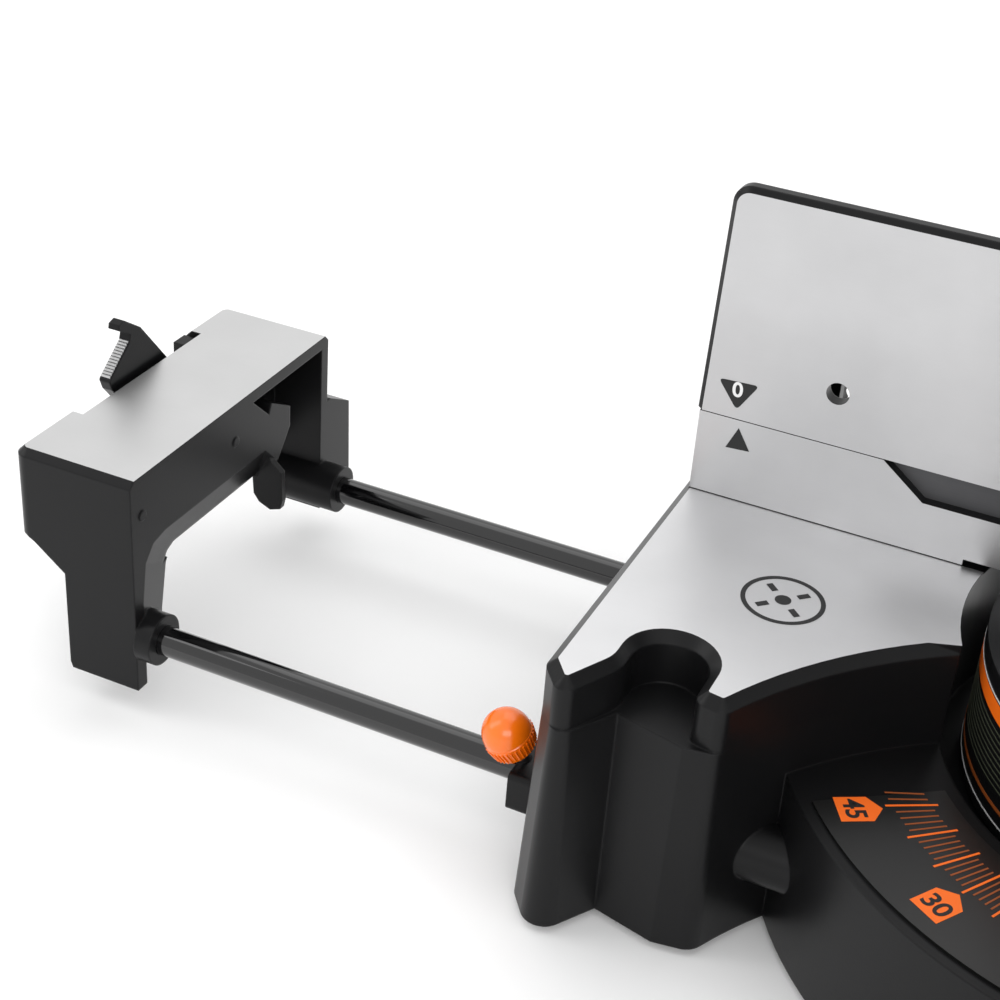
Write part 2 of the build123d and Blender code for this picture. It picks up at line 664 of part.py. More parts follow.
with BuildPart() as pointer:
    with BuildSketch(Plane.XY.offset(78 - 1.6)):
        with BuildLine():
            Polyline((26, -116), (34.6, -116), (34.6, -128), (29, -140), (26, -128), close=True)
        make_face()
    extrude(amount=1.6)
save(pointer.part, "mitre_pointer")

with BuildPart() as mitre_pivot:
    with BuildSketch(Plane.XY.offset(FLOOR_Z - 26)):
        RegularPolygon(10, 6)
    extrude(amount=6)
    with BuildSketch(Plane.XY.offset(FLOOR_Z - 20)):
        Circle(6)
    extrude(amount=38)
save(mitre_pivot.part, "mitre_pivot_bolt")


# ---- tilt bracket ------------------------------------------------------------------------
TILT_FACE = 134.0
YOKE_X = 46.0
with BuildPart() as bracket:
    with BuildSketch(front_plane(TILT_FACE)):
        with Locations((0, TABLE_Z)):
            Circle(42)
    extrude(amount=-16)
    with BuildSketch(front_plane(TILT_FACE + 4)):
        with BuildLine():
            Polyline((-24, TABLE_Z), (-YOKE_X, PIVOT_Z - 10), (-YOKE_X, PIVOT_Z + 16), (YOKE_X, PIVOT_Z + 16),
                     (YOKE_X, PIVOT_Z - 10), (24, TABLE_Z), close=True)
        make_face()
    extrude(amount=-46)
    with BuildSketch(side_plane(-60)):
        with BuildLine():
            Polyline((TILT_FACE + 4, PIVOT_Z + 16), (TILT_FACE + 4, PIVOT_Z - 8), (TILT_FACE - 2, TABLE_Z + 46),
                     (TILT_FACE - 10, PIVOT_Z + 30), close=True)
        make_face()
        with BuildLine():
            Polyline((TILT_FACE + 51, TABLE_Z - 1), (TILT_FACE + 22, TABLE_Z - 1), (TILT_FACE + 51, TABLE_Z + 60),
                     close=True)
        make_face()
    extrude(amount=120, mode=Mode.SUBTRACT)
    # gap for the arm, and the pivot hole
    with BuildSketch(Plane.XY.offset(PIVOT_Z - 30)):
        with Locations((0, PIVOT_Y)):
            Rectangle(60.6, 90)
    extrude(amount=60, mode=Mode.SUBTRACT)
    with BuildSketch(side_plane(-60)):
        with Locations((PIVOT_Y, PIVOT_Z)):
            Circle(7)
    extrude(amount=120, mode=Mode.SUBTRACT)
    with BuildSketch(side_plane(-60)):
        with Locations((PIVOT_Y + 13, PIVOT_Z - 20)):
            Circle(4.05)
    extrude(amount=50, mode=Mode.SUBTRACT)
    with BuildSketch(front_plane(TILT_FACE - 1)):
        with Locations((0, TABLE_Z)):
            Circle(7)
    extrude(amount=-20, mode=Mode.SUBTRACT)
    with BuildSketch(front_plane(TILT_FACE + 16)):
        with Locations((0, TABLE_Z)):
            Circle(15)
    extrude(amount=-40, mode=Mode.SUBTRACT)
print("bracket", bracket.part.is_valid, len(bracket.part.solids()))
save(bracket.part, "tilt_bracket")

with BuildPart() as tilt_bolt:
    with BuildSketch(front_plane(124.5)):
        with Locations((0, TABLE_Z)):
            Circle(6.95)
    extrude(amount=-(TILT_FACE + 16 - 124.5))
    with BuildSketch(front_plane(TILT_FACE + 16)):
        with Locations((0, TABLE_Z)):
            RegularPolygon(12, 6)
    extrude(amount=-8)
save(tilt_bolt.part, "tilt_pivot_bolt")

# tilt lock lever on the back of the bracket
with BuildPart() as tilt_lock:
    with BuildSketch(front_plane(TILT_FACE + 50.2)):
        with Locations((0, TABLE_Z + 75)):
            Circle(13)
    extrude(amount=-14)
    with BuildSketch(front_plane(TILT_FACE + 53)):
        with BuildLine():
            Polyline((-7, TABLE_Z + 75), (-5, TABLE_Z + 20), (5, TABLE_Z + 20), (7, TABLE_Z + 75), close=True)
        make_face()
    extrude(amount=-9)
    fillet(tilt_lock.edges().group_by(Axis.Y)[-1], 1.5)
save(tilt_lock.part, "tilt_lock_lever")

# ---- head: everything below is drawn in the cutting position ------------------------------
with BuildPart() as pivot_pin:
    with BuildSketch(side_plane(-YOKE_X - 6)):
        with Locations((PIVOT_Y, PIVOT_Z)):
            Circle(6.95)
    extrude(amount=2 * YOKE_X + 12)
    for x in (-YOKE_X - 6, YOKE_X + 0.2):
        with BuildSketch(side_plane(x)):
            with Locations((PIVOT_Y, PIVOT_Z)):
                Circle(11)
        extrude(amount=5.8)
save(pivot_pin.part, "head_pivot_pin")

GUARD_X = 16.0             # half width of the upper guard
GUARD_OUT = 141.0
GUARD_IN = 135.0
with BuildPart() as arm:
    # pivot hub
    with BuildSketch(side_plane(-30)):
        with Locations((PIVOT_Y, PIVOT_Z)):
            Circle(17)
    extrude(amount=60)
    # beam from the hub to the gear side of the blade
    with BuildSketch(side_plane(-GUARD_X)):
        with BuildLine():
            Polyline((PIVOT_Y + 8, PIVOT_Z + 15), (PIVOT_Y - 40, PIVOT_Z + 62), (ARBOR_Y + 92, ARBOR_Z + 96),
                     (ARBOR_Y + 106, ARBOR_Z + 54), (PIVOT_Y - 24, PIVOT_Z + 22), (PIVOT_Y - 14, PIVOT_Z - 8),
                     close=True)
        make_face()
    extrude(amount=2 * GUARD_X + 14)
    # upper blade guard: a shell round the top of the blade
    with BuildSketch(side_plane(-GUARD_X)):
        with Locations((ARBOR_Y, ARBOR_Z)):
            Circle(GUARD_OUT)
        with Locations((ARBOR_Y, ARBOR_Z - 80)):
            Rectangle(400, 200, mode=Mode.SUBTRACT)
    extrude(amount=2 * GUARD_X)
    with BuildSketch(side_plane(-GUARD_X + 2.5)):
        with Locations((ARBOR_Y, ARBOR_Z)):
            Circle(GUARD_IN)
    extrude(amount=2 * GUARD_X - 5, mode=Mode.SUBTRACT)
    # arbor opening on the left, shaft boss on the right
    with BuildSketch(side_plane(-GUARD_X - 2)):
        with Locations((ARBOR_Y, ARBOR_Z)):
            Circle(34)
    extrude(amount=6, mode=Mode.SUBTRACT)
    with BuildSketch(side_plane(GUARD_X - 2.5)):
        with Locations((ARBOR_Y, ARBOR_Z)):
            Circle(30)
        with Locations((ARBOR_Y, ARBOR_Z + 40)):
            Rectangle(70, 90)
    extrude(amount=8)
    with BuildSketch(side_plane(GUARD_X - 4)):
        with Locations((ARBOR_Y, ARBOR_Z)):
            Circle(ARBOR_R + RUN)
    extrude(amount=16, mode=Mode.SUBTRACT)
    with BuildSketch(side_plane(-60)):
        with Locations((PIVOT_Y, PIVOT_Z)):
            Circle(7)
    extrude(amount=120, mode=Mode.SUBTRACT)
print("arm", arm.part.is_valid, len(arm.part.solids()))
save_raised(arm.part, "head_arm")

TEETH = 40
with BuildPart() as blade:
    with BuildSketch(side_plane(-BLADE_T / 2)):
        with Locations((ARBOR_Y, ARBOR_Z)):
            Circle(BLADE_R)
            Circle(ARBOR_R, mode=Mode.SUBTRACT)
            with PolarLocations(BLADE_R - 2.5, TEETH):
                Polygon((-4, -1), (5, -7), (5, 4.5), (-1, 3), align=None, mode=Mode.SUBTRACT)
            with PolarLocations(BLADE_R - 12, 4, start_angle=20):
                Rectangle(22, 1.2, mode=Mode.SUBTRACT)
    extrude(amount=BLADE_T)
print("blade", blade.part.is_valid, len(blade.part.solids()))
save_raised(blade.part, "saw_blade")

with BuildPart() as arbor:
    with BuildSketch(side_plane(-BLADE_T / 2 - 0.3)):
        with Locations((ARBOR_Y, ARBOR_Z)):
            Circle(ARBOR_R)
    extrude(amount=46)
save_raised(arbor.part, "arbor_shaft")

with BuildPart() as outer_flange:
    with BuildSketch(side_plane(-BLADE_T / 2 - 4.3)):
        with Locations((ARBOR_Y, ARBOR_Z)):
            Circle(20)
            Circle(4, mode=Mode.SUBTRACT)
    extrude(amount=4)
save_raised(outer_flange.part, "outer_flange")
with BuildPart() as inner_flange:
    with BuildSketch(side_plane(BLADE_T / 2)):
        with Locations((ARBOR_Y, ARBOR_Z)):
            Circle(20)
            Circle(ARBOR_R, mode=Mode.SUBTRACT)
    extrude(amount=4)
save_raised(inner_flange.part, "inner_flange")

with BuildPart() as arbor_bolt:
    with BuildSketch(side_plane(-BLADE_T / 2 - 0.3)):
        with Locations((ARBOR_Y, ARBOR_Z)):
            Circle(4)
    extrude(amount=-4)
    with BuildSketch(side_plane(-BLADE_T / 2 - 4.3)):
        with Locations((ARBOR_Y, ARBOR_Z)):
            RegularPolygon(8, 6)
    extrude(amount=-6)
save_raised(arbor_bolt.part, "arbor_bolt")

# lower guard: a thinner shell that nests in the upper one and rolls back as the head comes down
LOWER_X = 12.6
LOWER_OUT = 133.5
LOWER_IN = 130.5
with BuildPart() as lower_guard:
    with BuildSketch(side_plane(-LOWER_X)):
        with Locations((ARBOR_Y, ARBOR_Z)):
            Circle(LOWER_OUT)
            Circle(26, mode=Mode.SUBTRACT)
    extrude(amount=2 * LOWER_X)
    with BuildSketch(side_plane(-LOWER_X + 1.8)):
        with Locations((ARBOR_Y, ARBOR_Z)):
            Circle(LOWER_IN)
    extrude(amount=2 * LOWER_X - 3.6, mode=Mode.SUBTRACT)
    with BuildSketch(side_plane(-LOWER_X - 1)):
        with BuildLine():
            Polyline((ARBOR_Y, ARBOR_Z),
                     (ARBOR_Y - 300 * cos(radians(20)), ARBOR_Z - 300 * sin(radians(20))),
                     (ARBOR_Y - 300, ARBOR_Z + 400), (ARBOR_Y + 300, ARBOR_Z + 400),
                     (ARBOR_Y + 300 * cos(radians(8)), ARBOR_Z - 300 * sin(radians(8))), close=True)
        make_face()
    extrude(amount=2 * LOWER_X + 2, mode=Mode.SUBTRACT)
    # hub rings on both sides
    for x in (-LOWER_X, LOWER_X - 1.8):
        with BuildSketch(side_plane(x)):
            with Locations((ARBOR_Y, ARBOR_Z)):
                Circle(36)
                Circle(24, mode=Mode.SUBTRACT)
        extrude(amount=1.8)
print("lower guard", lower_guard.part.is_valid, len(lower_guard.part.solids()))
save_raised(lower_guard.part, "lower_guard")

# gear case and motor on the right, carried high so that they pass over the fence
with BuildPart() as gear_case:
    with BuildSketch(side_plane(GUARD_X + 5.5)) as case_shape:
        with Locations((ARBOR_Y, ARBOR_Z)):
            Circle(30)
        with Locations((MOTOR_Y, MOTOR_Z)):
            Circle(46)
        with BuildLine():
            Polyline((ARBOR_Y - 30, ARBOR_Z), (MOTOR_Y - 46, MOTOR_Z), (MOTOR_Y + 46, MOTOR_Z),
                     (ARBOR_Y + 30, ARBOR_Z), close=True)
        make_face()
    extrude(amount=34)
    fillet(gear_case.edges().group_by(Axis.X)[-1], 5)
    with BuildSketch(side_plane(GUARD_X)):
        with Locations((ARBOR_Y, ARBOR_Z)):
            Circle(ARBOR_R + RUN)
    extrude(amount=30, mode=Mode.SUBTRACT)
save_raised(gear_case.part, "gear_case")

MOTOR_X = GUARD_X + 5.5 + 34
MOTOR_L = 104.0
with BuildPart() as motor:
    with BuildSketch(side_plane(MOTOR_X)):
        with Locations((MOTOR_Y, MOTOR_Z)):
            Circle(MOTOR_R)
    extrude(amount=MOTOR_L)
    # ventilation slots round the far end
    for k in range(16):
        spot = Plane(origin=(MOTOR_X + MOTOR_L - 30, MOTOR_Y, MOTOR_Z)).rotated((k * 22.5, 0, 0))
        with BuildSketch(spot.offset(MOTOR_R - 3)):
            SlotOverall(32, 4)
        extrude(amount=8, mode=Mode.SUBTRACT)
save_raised(motor.part, "motor_housing")

with BuildPart() as end_cap:
    with BuildSketch(side_plane(MOTOR_X + MOTOR_L)):
        with Locations((MOTOR_Y, MOTOR_Z)):
            Circle(MOTOR_R + 1)
    extrude(amount=18)
    fillet(end_cap.edges().group_by(Axis.X)[-1], 8)
save_raised(end_cap.part, "motor_end_cap")

with BuildPart() as brush_caps:
    for k in (-1, 1):
        with BuildSketch(front_plane(MOTOR_Y + k * MOTOR_R * 0.97)):
            with Locations((MOTOR_X + 40, MOTOR_Z)):
                Circle(8)
        extrude(amount=-k * 4)
    with BuildSketch(side_plane(MOTOR_X)):
        with Locations((MOTOR_Y, MOTOR_Z)):
            Circle(MOTOR_R)
    extrude(amount=MOTOR_L, mode=Mode.SUBTRACT)
save_raised(brush_caps.part, "brush_caps")

# D handle over the front of the guard, with trigger and lock-off button
HANDLE_Y = ARBOR_Y - 118
HANDLE_Z = ARBOR_Z + 108
TRIGGER_AT = (HANDLE_Y - 34, HANDLE_Z - 6)
with BuildPart() as handle:
    with BuildSketch(side_plane(-15)) as grip:
        with BuildLine():
            Polyline((HANDLE_Y + 78, HANDLE_Z + 32), (HANDLE_Y - 20, HANDLE_Z + 42), (HANDLE_Y - 58, HANDLE_Z + 8),
                     (HANDLE_Y - 48, HANDLE_Z - 62), (HANDLE_Y - 8, HANDLE_Z - 74), (HANDLE_Y + 16, HANDLE_Z - 48),
                     (HANDLE_Y + 42, HANDLE_Z - 4), (HANDLE_Y + 72, HANDLE_Z + 14), close=True)
        make_face()
        fillet(grip.vertices(), 7)
        with BuildLine():
            Polyline((HANDLE_Y + 8, HANDLE_Z + 12), (HANDLE_Y - 16, HANDLE_Z + 14), (HANDLE_Y - 30, HANDLE_Z - 2),
                     (HANDLE_Y - 24, HANDLE_Z - 38), (HANDLE_Y - 12, HANDLE_Z - 44), (HANDLE_Y + 2, HANDLE_Z - 30),
                     close=True)
        make_face(mode=Mode.SUBTRACT)
    extrude(amount=30)
    fillet(handle.edges().group_by(Axis.X)[0] + handle.edges().group_by(Axis.X)[-1], 3)
    with BuildSketch(side_plane(-16)):
        with Locations((ARBOR_Y, ARBOR_Z)):
            Circle(GUARD_OUT + 0.2)
    extrude(amount=32, mode=Mode.SUBTRACT)
    # pocket for the trigger, and the hole for the lock-off button
    with BuildSketch(side_plane(-7)):
        with Locations((HANDLE_Y - 31, HANDLE_Z - 17)):
            Rectangle(26, 38)
    extrude(amount=14, mode=Mode.SUBTRACT)
    with BuildSketch(side_plane(-16)):
        with Locations((HANDLE_Y - 8, HANDLE_Z + 28)):
            Circle(5.3)
    extrude(amount=12, mode=Mode.SUBTRACT)
    with BuildSketch(side_plane(-12)):
        with Locations(TRIGGER_AT):
            Circle(1.5)
    extrude(amount=24, mode=Mode.SUBTRACT)
print("handle", handle.part.is_valid, len(handle.part.solids()))
save_raised(handle.part, "main_handle")

with BuildPart() as trigger:
    with BuildSketch(side_plane(-6)) as trigger_shape:
        with BuildLine():
            Polyline((HANDLE_Y - 38, HANDLE_Z - 2), (HANDLE_Y - 22, HANDLE_Z - 2), (HANDLE_Y - 17, HANDLE_Z - 12),
                     (HANDLE_Y - 15, HANDLE_Z - 30), (HANDLE_Y - 22, HANDLE_Z - 33), (HANDLE_Y - 38, HANDLE_Z - 31),
                     close=True)
        make_face()
        fillet(trigger_shape.vertices().filter_by(lambda v: v.Y > HANDLE_Y - 30), 2)
    extrude(amount=12)
    with BuildSketch(side_plane(-7)):
        with Locations(TRIGGER_AT):
            Circle(1.55)
    extrude(amount=14, mode=Mode.SUBTRACT)
save_raised(trigger.part, "trigger")

with BuildPart() as trigger_pin:
    with BuildSketch(side_plane(-12)):
        with Locations(TRIGGER_AT):
            Circle(1.5)
    extrude(amount=24)
save_raised(trigger_pin.part, "trigger_pin")

with BuildPart() as lock_off:
    with BuildSketch(side_plane(-18.5)):
        with Locations((HANDLE_Y - 8, HANDLE_Z + 28)):
            Circle(5)
    extrude(amount=10)
    fillet(lock_off.edges().group_by(Axis.X)[0], 1.2)
save_raised(lock_off.part, "lock_off_button")

with BuildPart() as carry_handle:
    with BuildSketch(side_plane(-9)) as carry:
        with Locations((ARBOR_Y + 32, ARBOR_Z + 152)):
            Rectangle(112, 60)
        fillet(carry.vertices(), 16)
        with Locations((ARBOR_Y + 32, ARBOR_Z + 150)):
            RectangleRounded(84, 32, 10, mode=Mode.SUBTRACT)
    extrude(amount=18)
    fillet(carry_handle.edges().group_by(Axis.X)[0] + carry_handle.edges().group_by(Axis.X)[-1], 3)
    with BuildSketch(side_plane(-10)):
        with Locations((ARBOR_Y, ARBOR_Z)):
            Circle(GUARD_OUT + 0.2)
    extrude(amount=20, mode=Mode.SUBTRACT)
print("carry", carry_handle.part.is_valid, len(carry_handle.part.solids()))
save_raised(carry_handle.part, "carry_handle")

with BuildPart() as dust_port:
    with BuildSketch(side_plane(-GUARD_X)):
        with Locations((ARBOR_Y + 78, ARBOR_Z + 66)):
            Rectangle(36, 36)
    extrude(amount=-34)
    with BuildSketch(front_plane(ARBOR_Y + 96)):
        with Locations((-GUARD_X - 17, ARBOR_Z + 66)):
            Circle(16)
    extrude(amount=-34)
    with BuildSketch(front_plane(ARBOR_Y + 66)):
        with Locations((-GUARD_X - 17, ARBOR_Z + 66)):
            Circle(13.5)
    extrude(amount=-70, mode=Mode.SUBTRACT)
save_raised(dust_port.part, "dust_port")

with BuildPart() as gland:
    with BuildSketch(front_plane(MOTOR_Y + 45)):
        with Locations((GUARD_X + 24, MOTOR_Z + 12)):
            Circle(7)
    with BuildSketch(front_plane(MOTOR_Y + 80)):
        with Locations((GUARD_X + 24, MOTOR_Z + 12)):
            Circle(4.6)
    loft()
    with BuildSketch(side_plane(GUARD_X)):
        with Locations((MOTOR_Y, MOTOR_Z)):
            Circle(46)
    extrude(amount=60, mode=Mode.SUBTRACT)
save_raised(gland.part, "cord_gland")

with BuildPart() as cap_screws:
    with BuildSketch(side_plane(MOTOR_X + MOTOR_L + 18)):
        with Locations((MOTOR_Y, MOTOR_Z)):
            with PolarLocations(24, 4, start_angle=45):
                Circle(3.4)
                RegularPolygon(1.7, 6, mode=Mode.SUBTRACT)
    extrude(amount=2)
save_raised(cap_screws.part, "end_cap_screws")

with BuildPart() as spring_cup:
    with BuildSketch(side_plane(YOKE_X + 6.2)):
        with Locations((PIVOT_Y, PIVOT_Z)):
            Circle(18)
    extrude(amount=12)
    fillet(spring_cup.edges().group_by(Axis.X)[-1], 4)
save(spring_cup.part, "return_spring_cup")

with BuildPart() as lock_pin:
    with BuildSketch(side_plane(-YOKE_X + 14)):
        with Locations((PIVOT_Y + 13, PIVOT_Z - 20)):
            Circle(4)
    extrude(amount=-20)
    with BuildSketch(side_plane(-YOKE_X - 6)):
        with Locations((PIVOT_Y + 13, PIVOT_Z - 20)):
            Circle(9)
    extrude(amount=-10)
    fillet(lock_pin.edges().group_by(Axis.X)[0], 3)
save(lock_pin.part, "head_lock_pin")


# ---- wing lock: clamp block round the front rod, leaning stud and round knob ---------------
CLAMP = Vector(-243.0, ROD_FRONT - 2.0, ROD_Z)
LEAN_OUT = 23.0
LEAN_FRONT = 18.5
lean = Vector(-tan(radians(LEAN_OUT)), -tan(radians(LEAN_FRONT)), 1).normalized()
stud_plane = Plane(origin=CLAMP, z_dir=lean)

with BuildPart() as clamp:
    with BuildSketch(side_plane(CLAMP.X - 4.6)) as clamp_shape:
        with Locations((ROD_FRONT - 3.5, ROD_Z - 0.3)):
            Rectangle(27, 17.8)
        fillet(clamp_shape.vertices(), 2.5)
    extrude(amount=13.6)
    add(base.part, mode=Mode.SUBTRACT)
    with BuildSketch(side_plane(CLAMP.X - 20)):
        with Locations((ROD_FRONT, ROD_Z)):
            Circle(ROD_R + RUN)
    extrude(amount=40, mode=Mode.SUBTRACT)
    with BuildSketch(stud_plane):
        Circle(3.05)
    extrude(amount=40, mode=Mode.SUBTRACT)
save_pair(clamp.part, "rod_clamp_block")

with BuildPart() as stud:
    with BuildSketch(stud_plane.offset(8.0)):
        Circle(3)
    extrude(amount=8.5)
save_pair(stud.part, "wing_lock_stud")

with BuildPart() as knob:
    knob_plane = Plane(origin=CLAMP, x_dir=stud_plane.x_dir, z_dir=lean.cross(stud_plane.x_dir) * -1)
    with BuildSketch(knob_plane):
        with BuildLine():
            Polyline((0, 18.5), (0, 16.5), (8.4, 16.5), (9.6, 18.0), (10.3, 23.5))
            Spline((10.3, 23.5), (9.6, 29.0), (6.4, 33.3), (0, 35.4), tangents=((0.1, 1), (-1, 0)))
            Line((0, 35.4), (0, 18.5))
        make_face()
    revolve(axis=Axis(CLAMP, lean))
print("knob", knob.part.is_valid, knob.part.volume)
save_pair(knob.part, "wing_lock_knob")
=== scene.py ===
# %% [markdown]
# # A compound mitre saw with sliding wings
# The CAD model is the fixed frame: every casting, rod, fence and guard comes in finished in
# shape. This script gives those parts their finishes, adds the printed marks and the small
# detail that a casting drawing leaves out, and sets up a plain studio.

import json
from math import cos, pi, radians, sin, tan

import bpy
from mathutils import Matrix, Vector


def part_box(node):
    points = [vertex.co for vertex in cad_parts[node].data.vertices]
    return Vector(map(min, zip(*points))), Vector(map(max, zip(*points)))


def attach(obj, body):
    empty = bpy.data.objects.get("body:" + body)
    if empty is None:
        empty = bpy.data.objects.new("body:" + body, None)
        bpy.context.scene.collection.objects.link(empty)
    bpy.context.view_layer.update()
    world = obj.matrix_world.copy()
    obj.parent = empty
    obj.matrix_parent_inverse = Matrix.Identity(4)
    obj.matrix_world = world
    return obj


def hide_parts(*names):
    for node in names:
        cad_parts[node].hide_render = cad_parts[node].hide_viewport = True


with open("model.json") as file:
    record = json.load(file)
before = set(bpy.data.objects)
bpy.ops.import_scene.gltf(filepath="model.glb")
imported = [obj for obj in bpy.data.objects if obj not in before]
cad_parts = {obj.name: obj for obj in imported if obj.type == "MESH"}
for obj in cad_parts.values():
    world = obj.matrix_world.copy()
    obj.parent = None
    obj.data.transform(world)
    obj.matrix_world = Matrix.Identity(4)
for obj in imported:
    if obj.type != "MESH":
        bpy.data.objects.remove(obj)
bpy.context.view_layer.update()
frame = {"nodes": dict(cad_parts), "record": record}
MM = 0.001
nodes = frame["nodes"]

# %% [markdown]
# ## Camera
# The camera stands in front of the saw, half a metre above the bench, and looks down over the
# left wing. Its turn is given as three angles, so that the view can be read at a glance:
# azimuth round the saw, elevation above the bench and a small roll.

# %% Camera
AZIMUTH = radians(22.86)
ELEVATION = radians(31.35)
ROLL = radians(4.43)
LENS = 66.56
CAMERA_PLACE = Vector((-0.0407, -0.6268, 0.5119))
CAMERA_REACH = 20

back = Vector((sin(AZIMUTH) * cos(ELEVATION), -cos(AZIMUTH) * cos(ELEVATION), sin(ELEVATION)))
level = Vector((cos(AZIMUTH), sin(AZIMUTH), 0))
upright = back.cross(level)
right = level * cos(ROLL) + upright * sin(ROLL)
up = -level * sin(ROLL) + upright * cos(ROLL)
camera_data = bpy.data.cameras.new("studio_camera")
camera_data.lens = LENS
camera_data.clip_end = CAMERA_REACH
camera = bpy.data.objects.new("studio_camera", camera_data)
turn = Matrix((right, up, back)).transposed().to_4x4()
camera.matrix_world = Matrix.Translation(CAMERA_PLACE) @ turn
bpy.context.scene.collection.objects.link(camera)
bpy.context.scene.camera = camera
print("camera at", tuple(round(c, 3) for c in CAMERA_PLACE))

# %% [markdown]
# ## Studio
# A pale floor runs out past the view, and the light is soft: a bright sky for the whole
# scene, one large panel above and behind the saw that puts a gradient on the flat faces, a
# smaller one at the left that draws the highlight along the rods, and one in front that lifts
# the faces turned to the camera.

# %% Studio
scene = bpy.context.scene
scene.view_settings.view_transform = "Standard"
SKY = 0.95
world = bpy.data.worlds.new("studio_sky")
world.use_nodes = True
world.node_tree.nodes["Background"].inputs["Color"].default_value = (1, 1, 1, 1)
world.node_tree.nodes["Background"].inputs["Strength"].default_value = SKY
scene.world = world


def softbox(name, place, aim, size, power):
    """A rectangular studio light that points at aim."""
    data = bpy.data.lights.new(name, "AREA")
    data.shape = "RECTANGLE"
    data.size, data.size_y = size
    data.energy = power
    light = bpy.data.objects.new(name, data)
    light.location = place
    light.rotation_euler = (Vector(aim) - Vector(place)).to_track_quat("-Z", "Y").to_euler()
    scene.collection.objects.link(light)
    return light


PANELS = [  # name, place and aim in metres, width and height in metres, watts
    ("panel_above", (-0.3, 0.7, 1.6), (-0.2, 0, 0.1), (1.8, 1.2), 6),
    ("panel_left", (-1.6, -0.5, 1.1), (-0.3, 0, 0.1), (0.7, 1.4), 5),
    ("panel_front", (0.6, -1.8, 1.2), (-0.1, 0, 0.1), (1.6, 0.9), 14),
]
for panel in PANELS:
    softbox(*panel)

FLOOR = 6.0
floor_corners = [(-FLOOR, -FLOOR, 0), (FLOOR, -FLOOR, 0), (FLOOR, FLOOR, 0), (-FLOOR, FLOOR, 0)]
floor_mesh = bpy.data.meshes.new("studio_floor")
floor_mesh.from_pydata(floor_corners, [], [(0, 1, 2, 3)])
floor = bpy.data.objects.new("studio_floor", floor_mesh)
scene.collection.objects.link(floor)

# %% [markdown]
# ## Small helpers
# One function turns a hex colour to linear, one adds a shader or geometry node with its
# settings and links, and one starts a material on a Principled shader. The last three make a
# bump, a variation between two values, and the noise that drives both.


# %% Helpers
def linear(hex_colour):
    """sRGB hex to linear RGBA."""
    parts = [int(hex_colour[i:i + 2], 16) / 255 for i in (1, 3, 5)]
    return tuple(c / 12.92 if c <= 0.04045 else ((c + 0.055) / 1.055) ** 2.4 for c in parts) + (1,)


def add_node(tree, kind, inputs=None, **settings):
    """Adds a node. inputs maps a socket's name or number to a value or to another socket."""
    node = tree.nodes.new(kind)
    for key, value in settings.items():
        setattr(node, key, value)
    for key, value in (inputs or {}).items():
        if isinstance(value, bpy.types.NodeSocket):
            tree.links.new(value, node.inputs[key])
        else:
            node.inputs[key].default_value = value
    return node


def start_material(name, **values):
    """A material with one Principled shader, whose plain values are set on its own sockets."""
    material = bpy.data.materials.new(name)
    material.use_nodes = True
    shader = material.node_tree.nodes["Principled BSDF"]
    for key, value in values.items():
        shader.inputs[key.replace("_", " ")].default_value = value
    return material, material.node_tree, shader


def bump_from(tree, shader, height, strength, distance, edge_mm=0.0):
    """Sends a height to the shader's normal, with edges that look rounded to edge_mm."""
    bump = add_node(tree, "ShaderNodeBump",
                    {"Height": height, "Strength": strength, "Distance": distance})
    if edge_mm:
        soft_edge = add_node(tree, "ShaderNodeBevel", {"Radius": edge_mm * MM}, samples=4)
        tree.links.new(soft_edge.outputs["Normal"], bump.inputs["Normal"])
    tree.links.new(bump.outputs["Normal"], shader.inputs["Normal"])


def vary(tree, shader, socket, pattern, low, high):
    """Drives a shader socket between two values or two colours by a 0 to 1 pattern.

    The Mix node takes its colours on sockets 6 and 7, the Map Range node its new low and high
    values on 3 and 4.
    """
    if isinstance(low, tuple):
        mix = add_node(tree, "ShaderNodeMix", {0: pattern, 6: low, 7: high}, data_type="RGBA")
        tree.links.new(mix.outputs[2], shader.inputs[socket])
    else:
        spread = add_node(tree, "ShaderNodeMapRange", {0: pattern, 3: low, 4: high})
        tree.links.new(spread.outputs[0], shader.inputs[socket])


def object_noise(tree, size_mm, detail=4.0, stretch=(1, 1, 1)):
    """Noise on Object coordinates, with features about size_mm across."""
    place = add_node(tree, "ShaderNodeTexCoord")
    scale = [s / (size_mm * MM) for s in stretch]
    mapping = add_node(tree, "ShaderNodeMapping", {"Vector": place.outputs["Object"], "Scale": scale})
    noise = add_node(tree, "ShaderNodeTexNoise",
                     {"Vector": mapping.outputs[0], "Scale": 1.0, "Detail": detail})
    return noise.outputs[0]


# %% [markdown]
# ## Finishes
# The castings are aluminium with a satin black powder coat: it bakes to a very fine orange
# peel that breaks up the highlights. Tops and fence faces are milled after painting, so they
# are bare metal with faint cutter tracks along the fence.


# %% Powder coat
def powder_coat(name, colour, rough):
    """Satin black coat on a casting, with orange peel about 0.9 mm across."""
    material, tree, shader = start_material(name, IOR=1.5, Specular_IOR_Level=0.2)
    peel = object_noise(tree, 0.9, 2.0)
    cloud = object_noise(tree, 60, 3.0)
    vary(tree, shader, "Base Color", cloud, linear(colour[0]), linear(colour[1]))
    vary(tree, shader, "Roughness", cloud, rough - 0.05, rough + 0.05)
    bump_from(tree, shader, peel, 0.10, 0.0002, 1.2)
    return material


COAT = powder_coat("satin_black_powder_coat", ("#0e0e0f", "#151516"), 0.33)


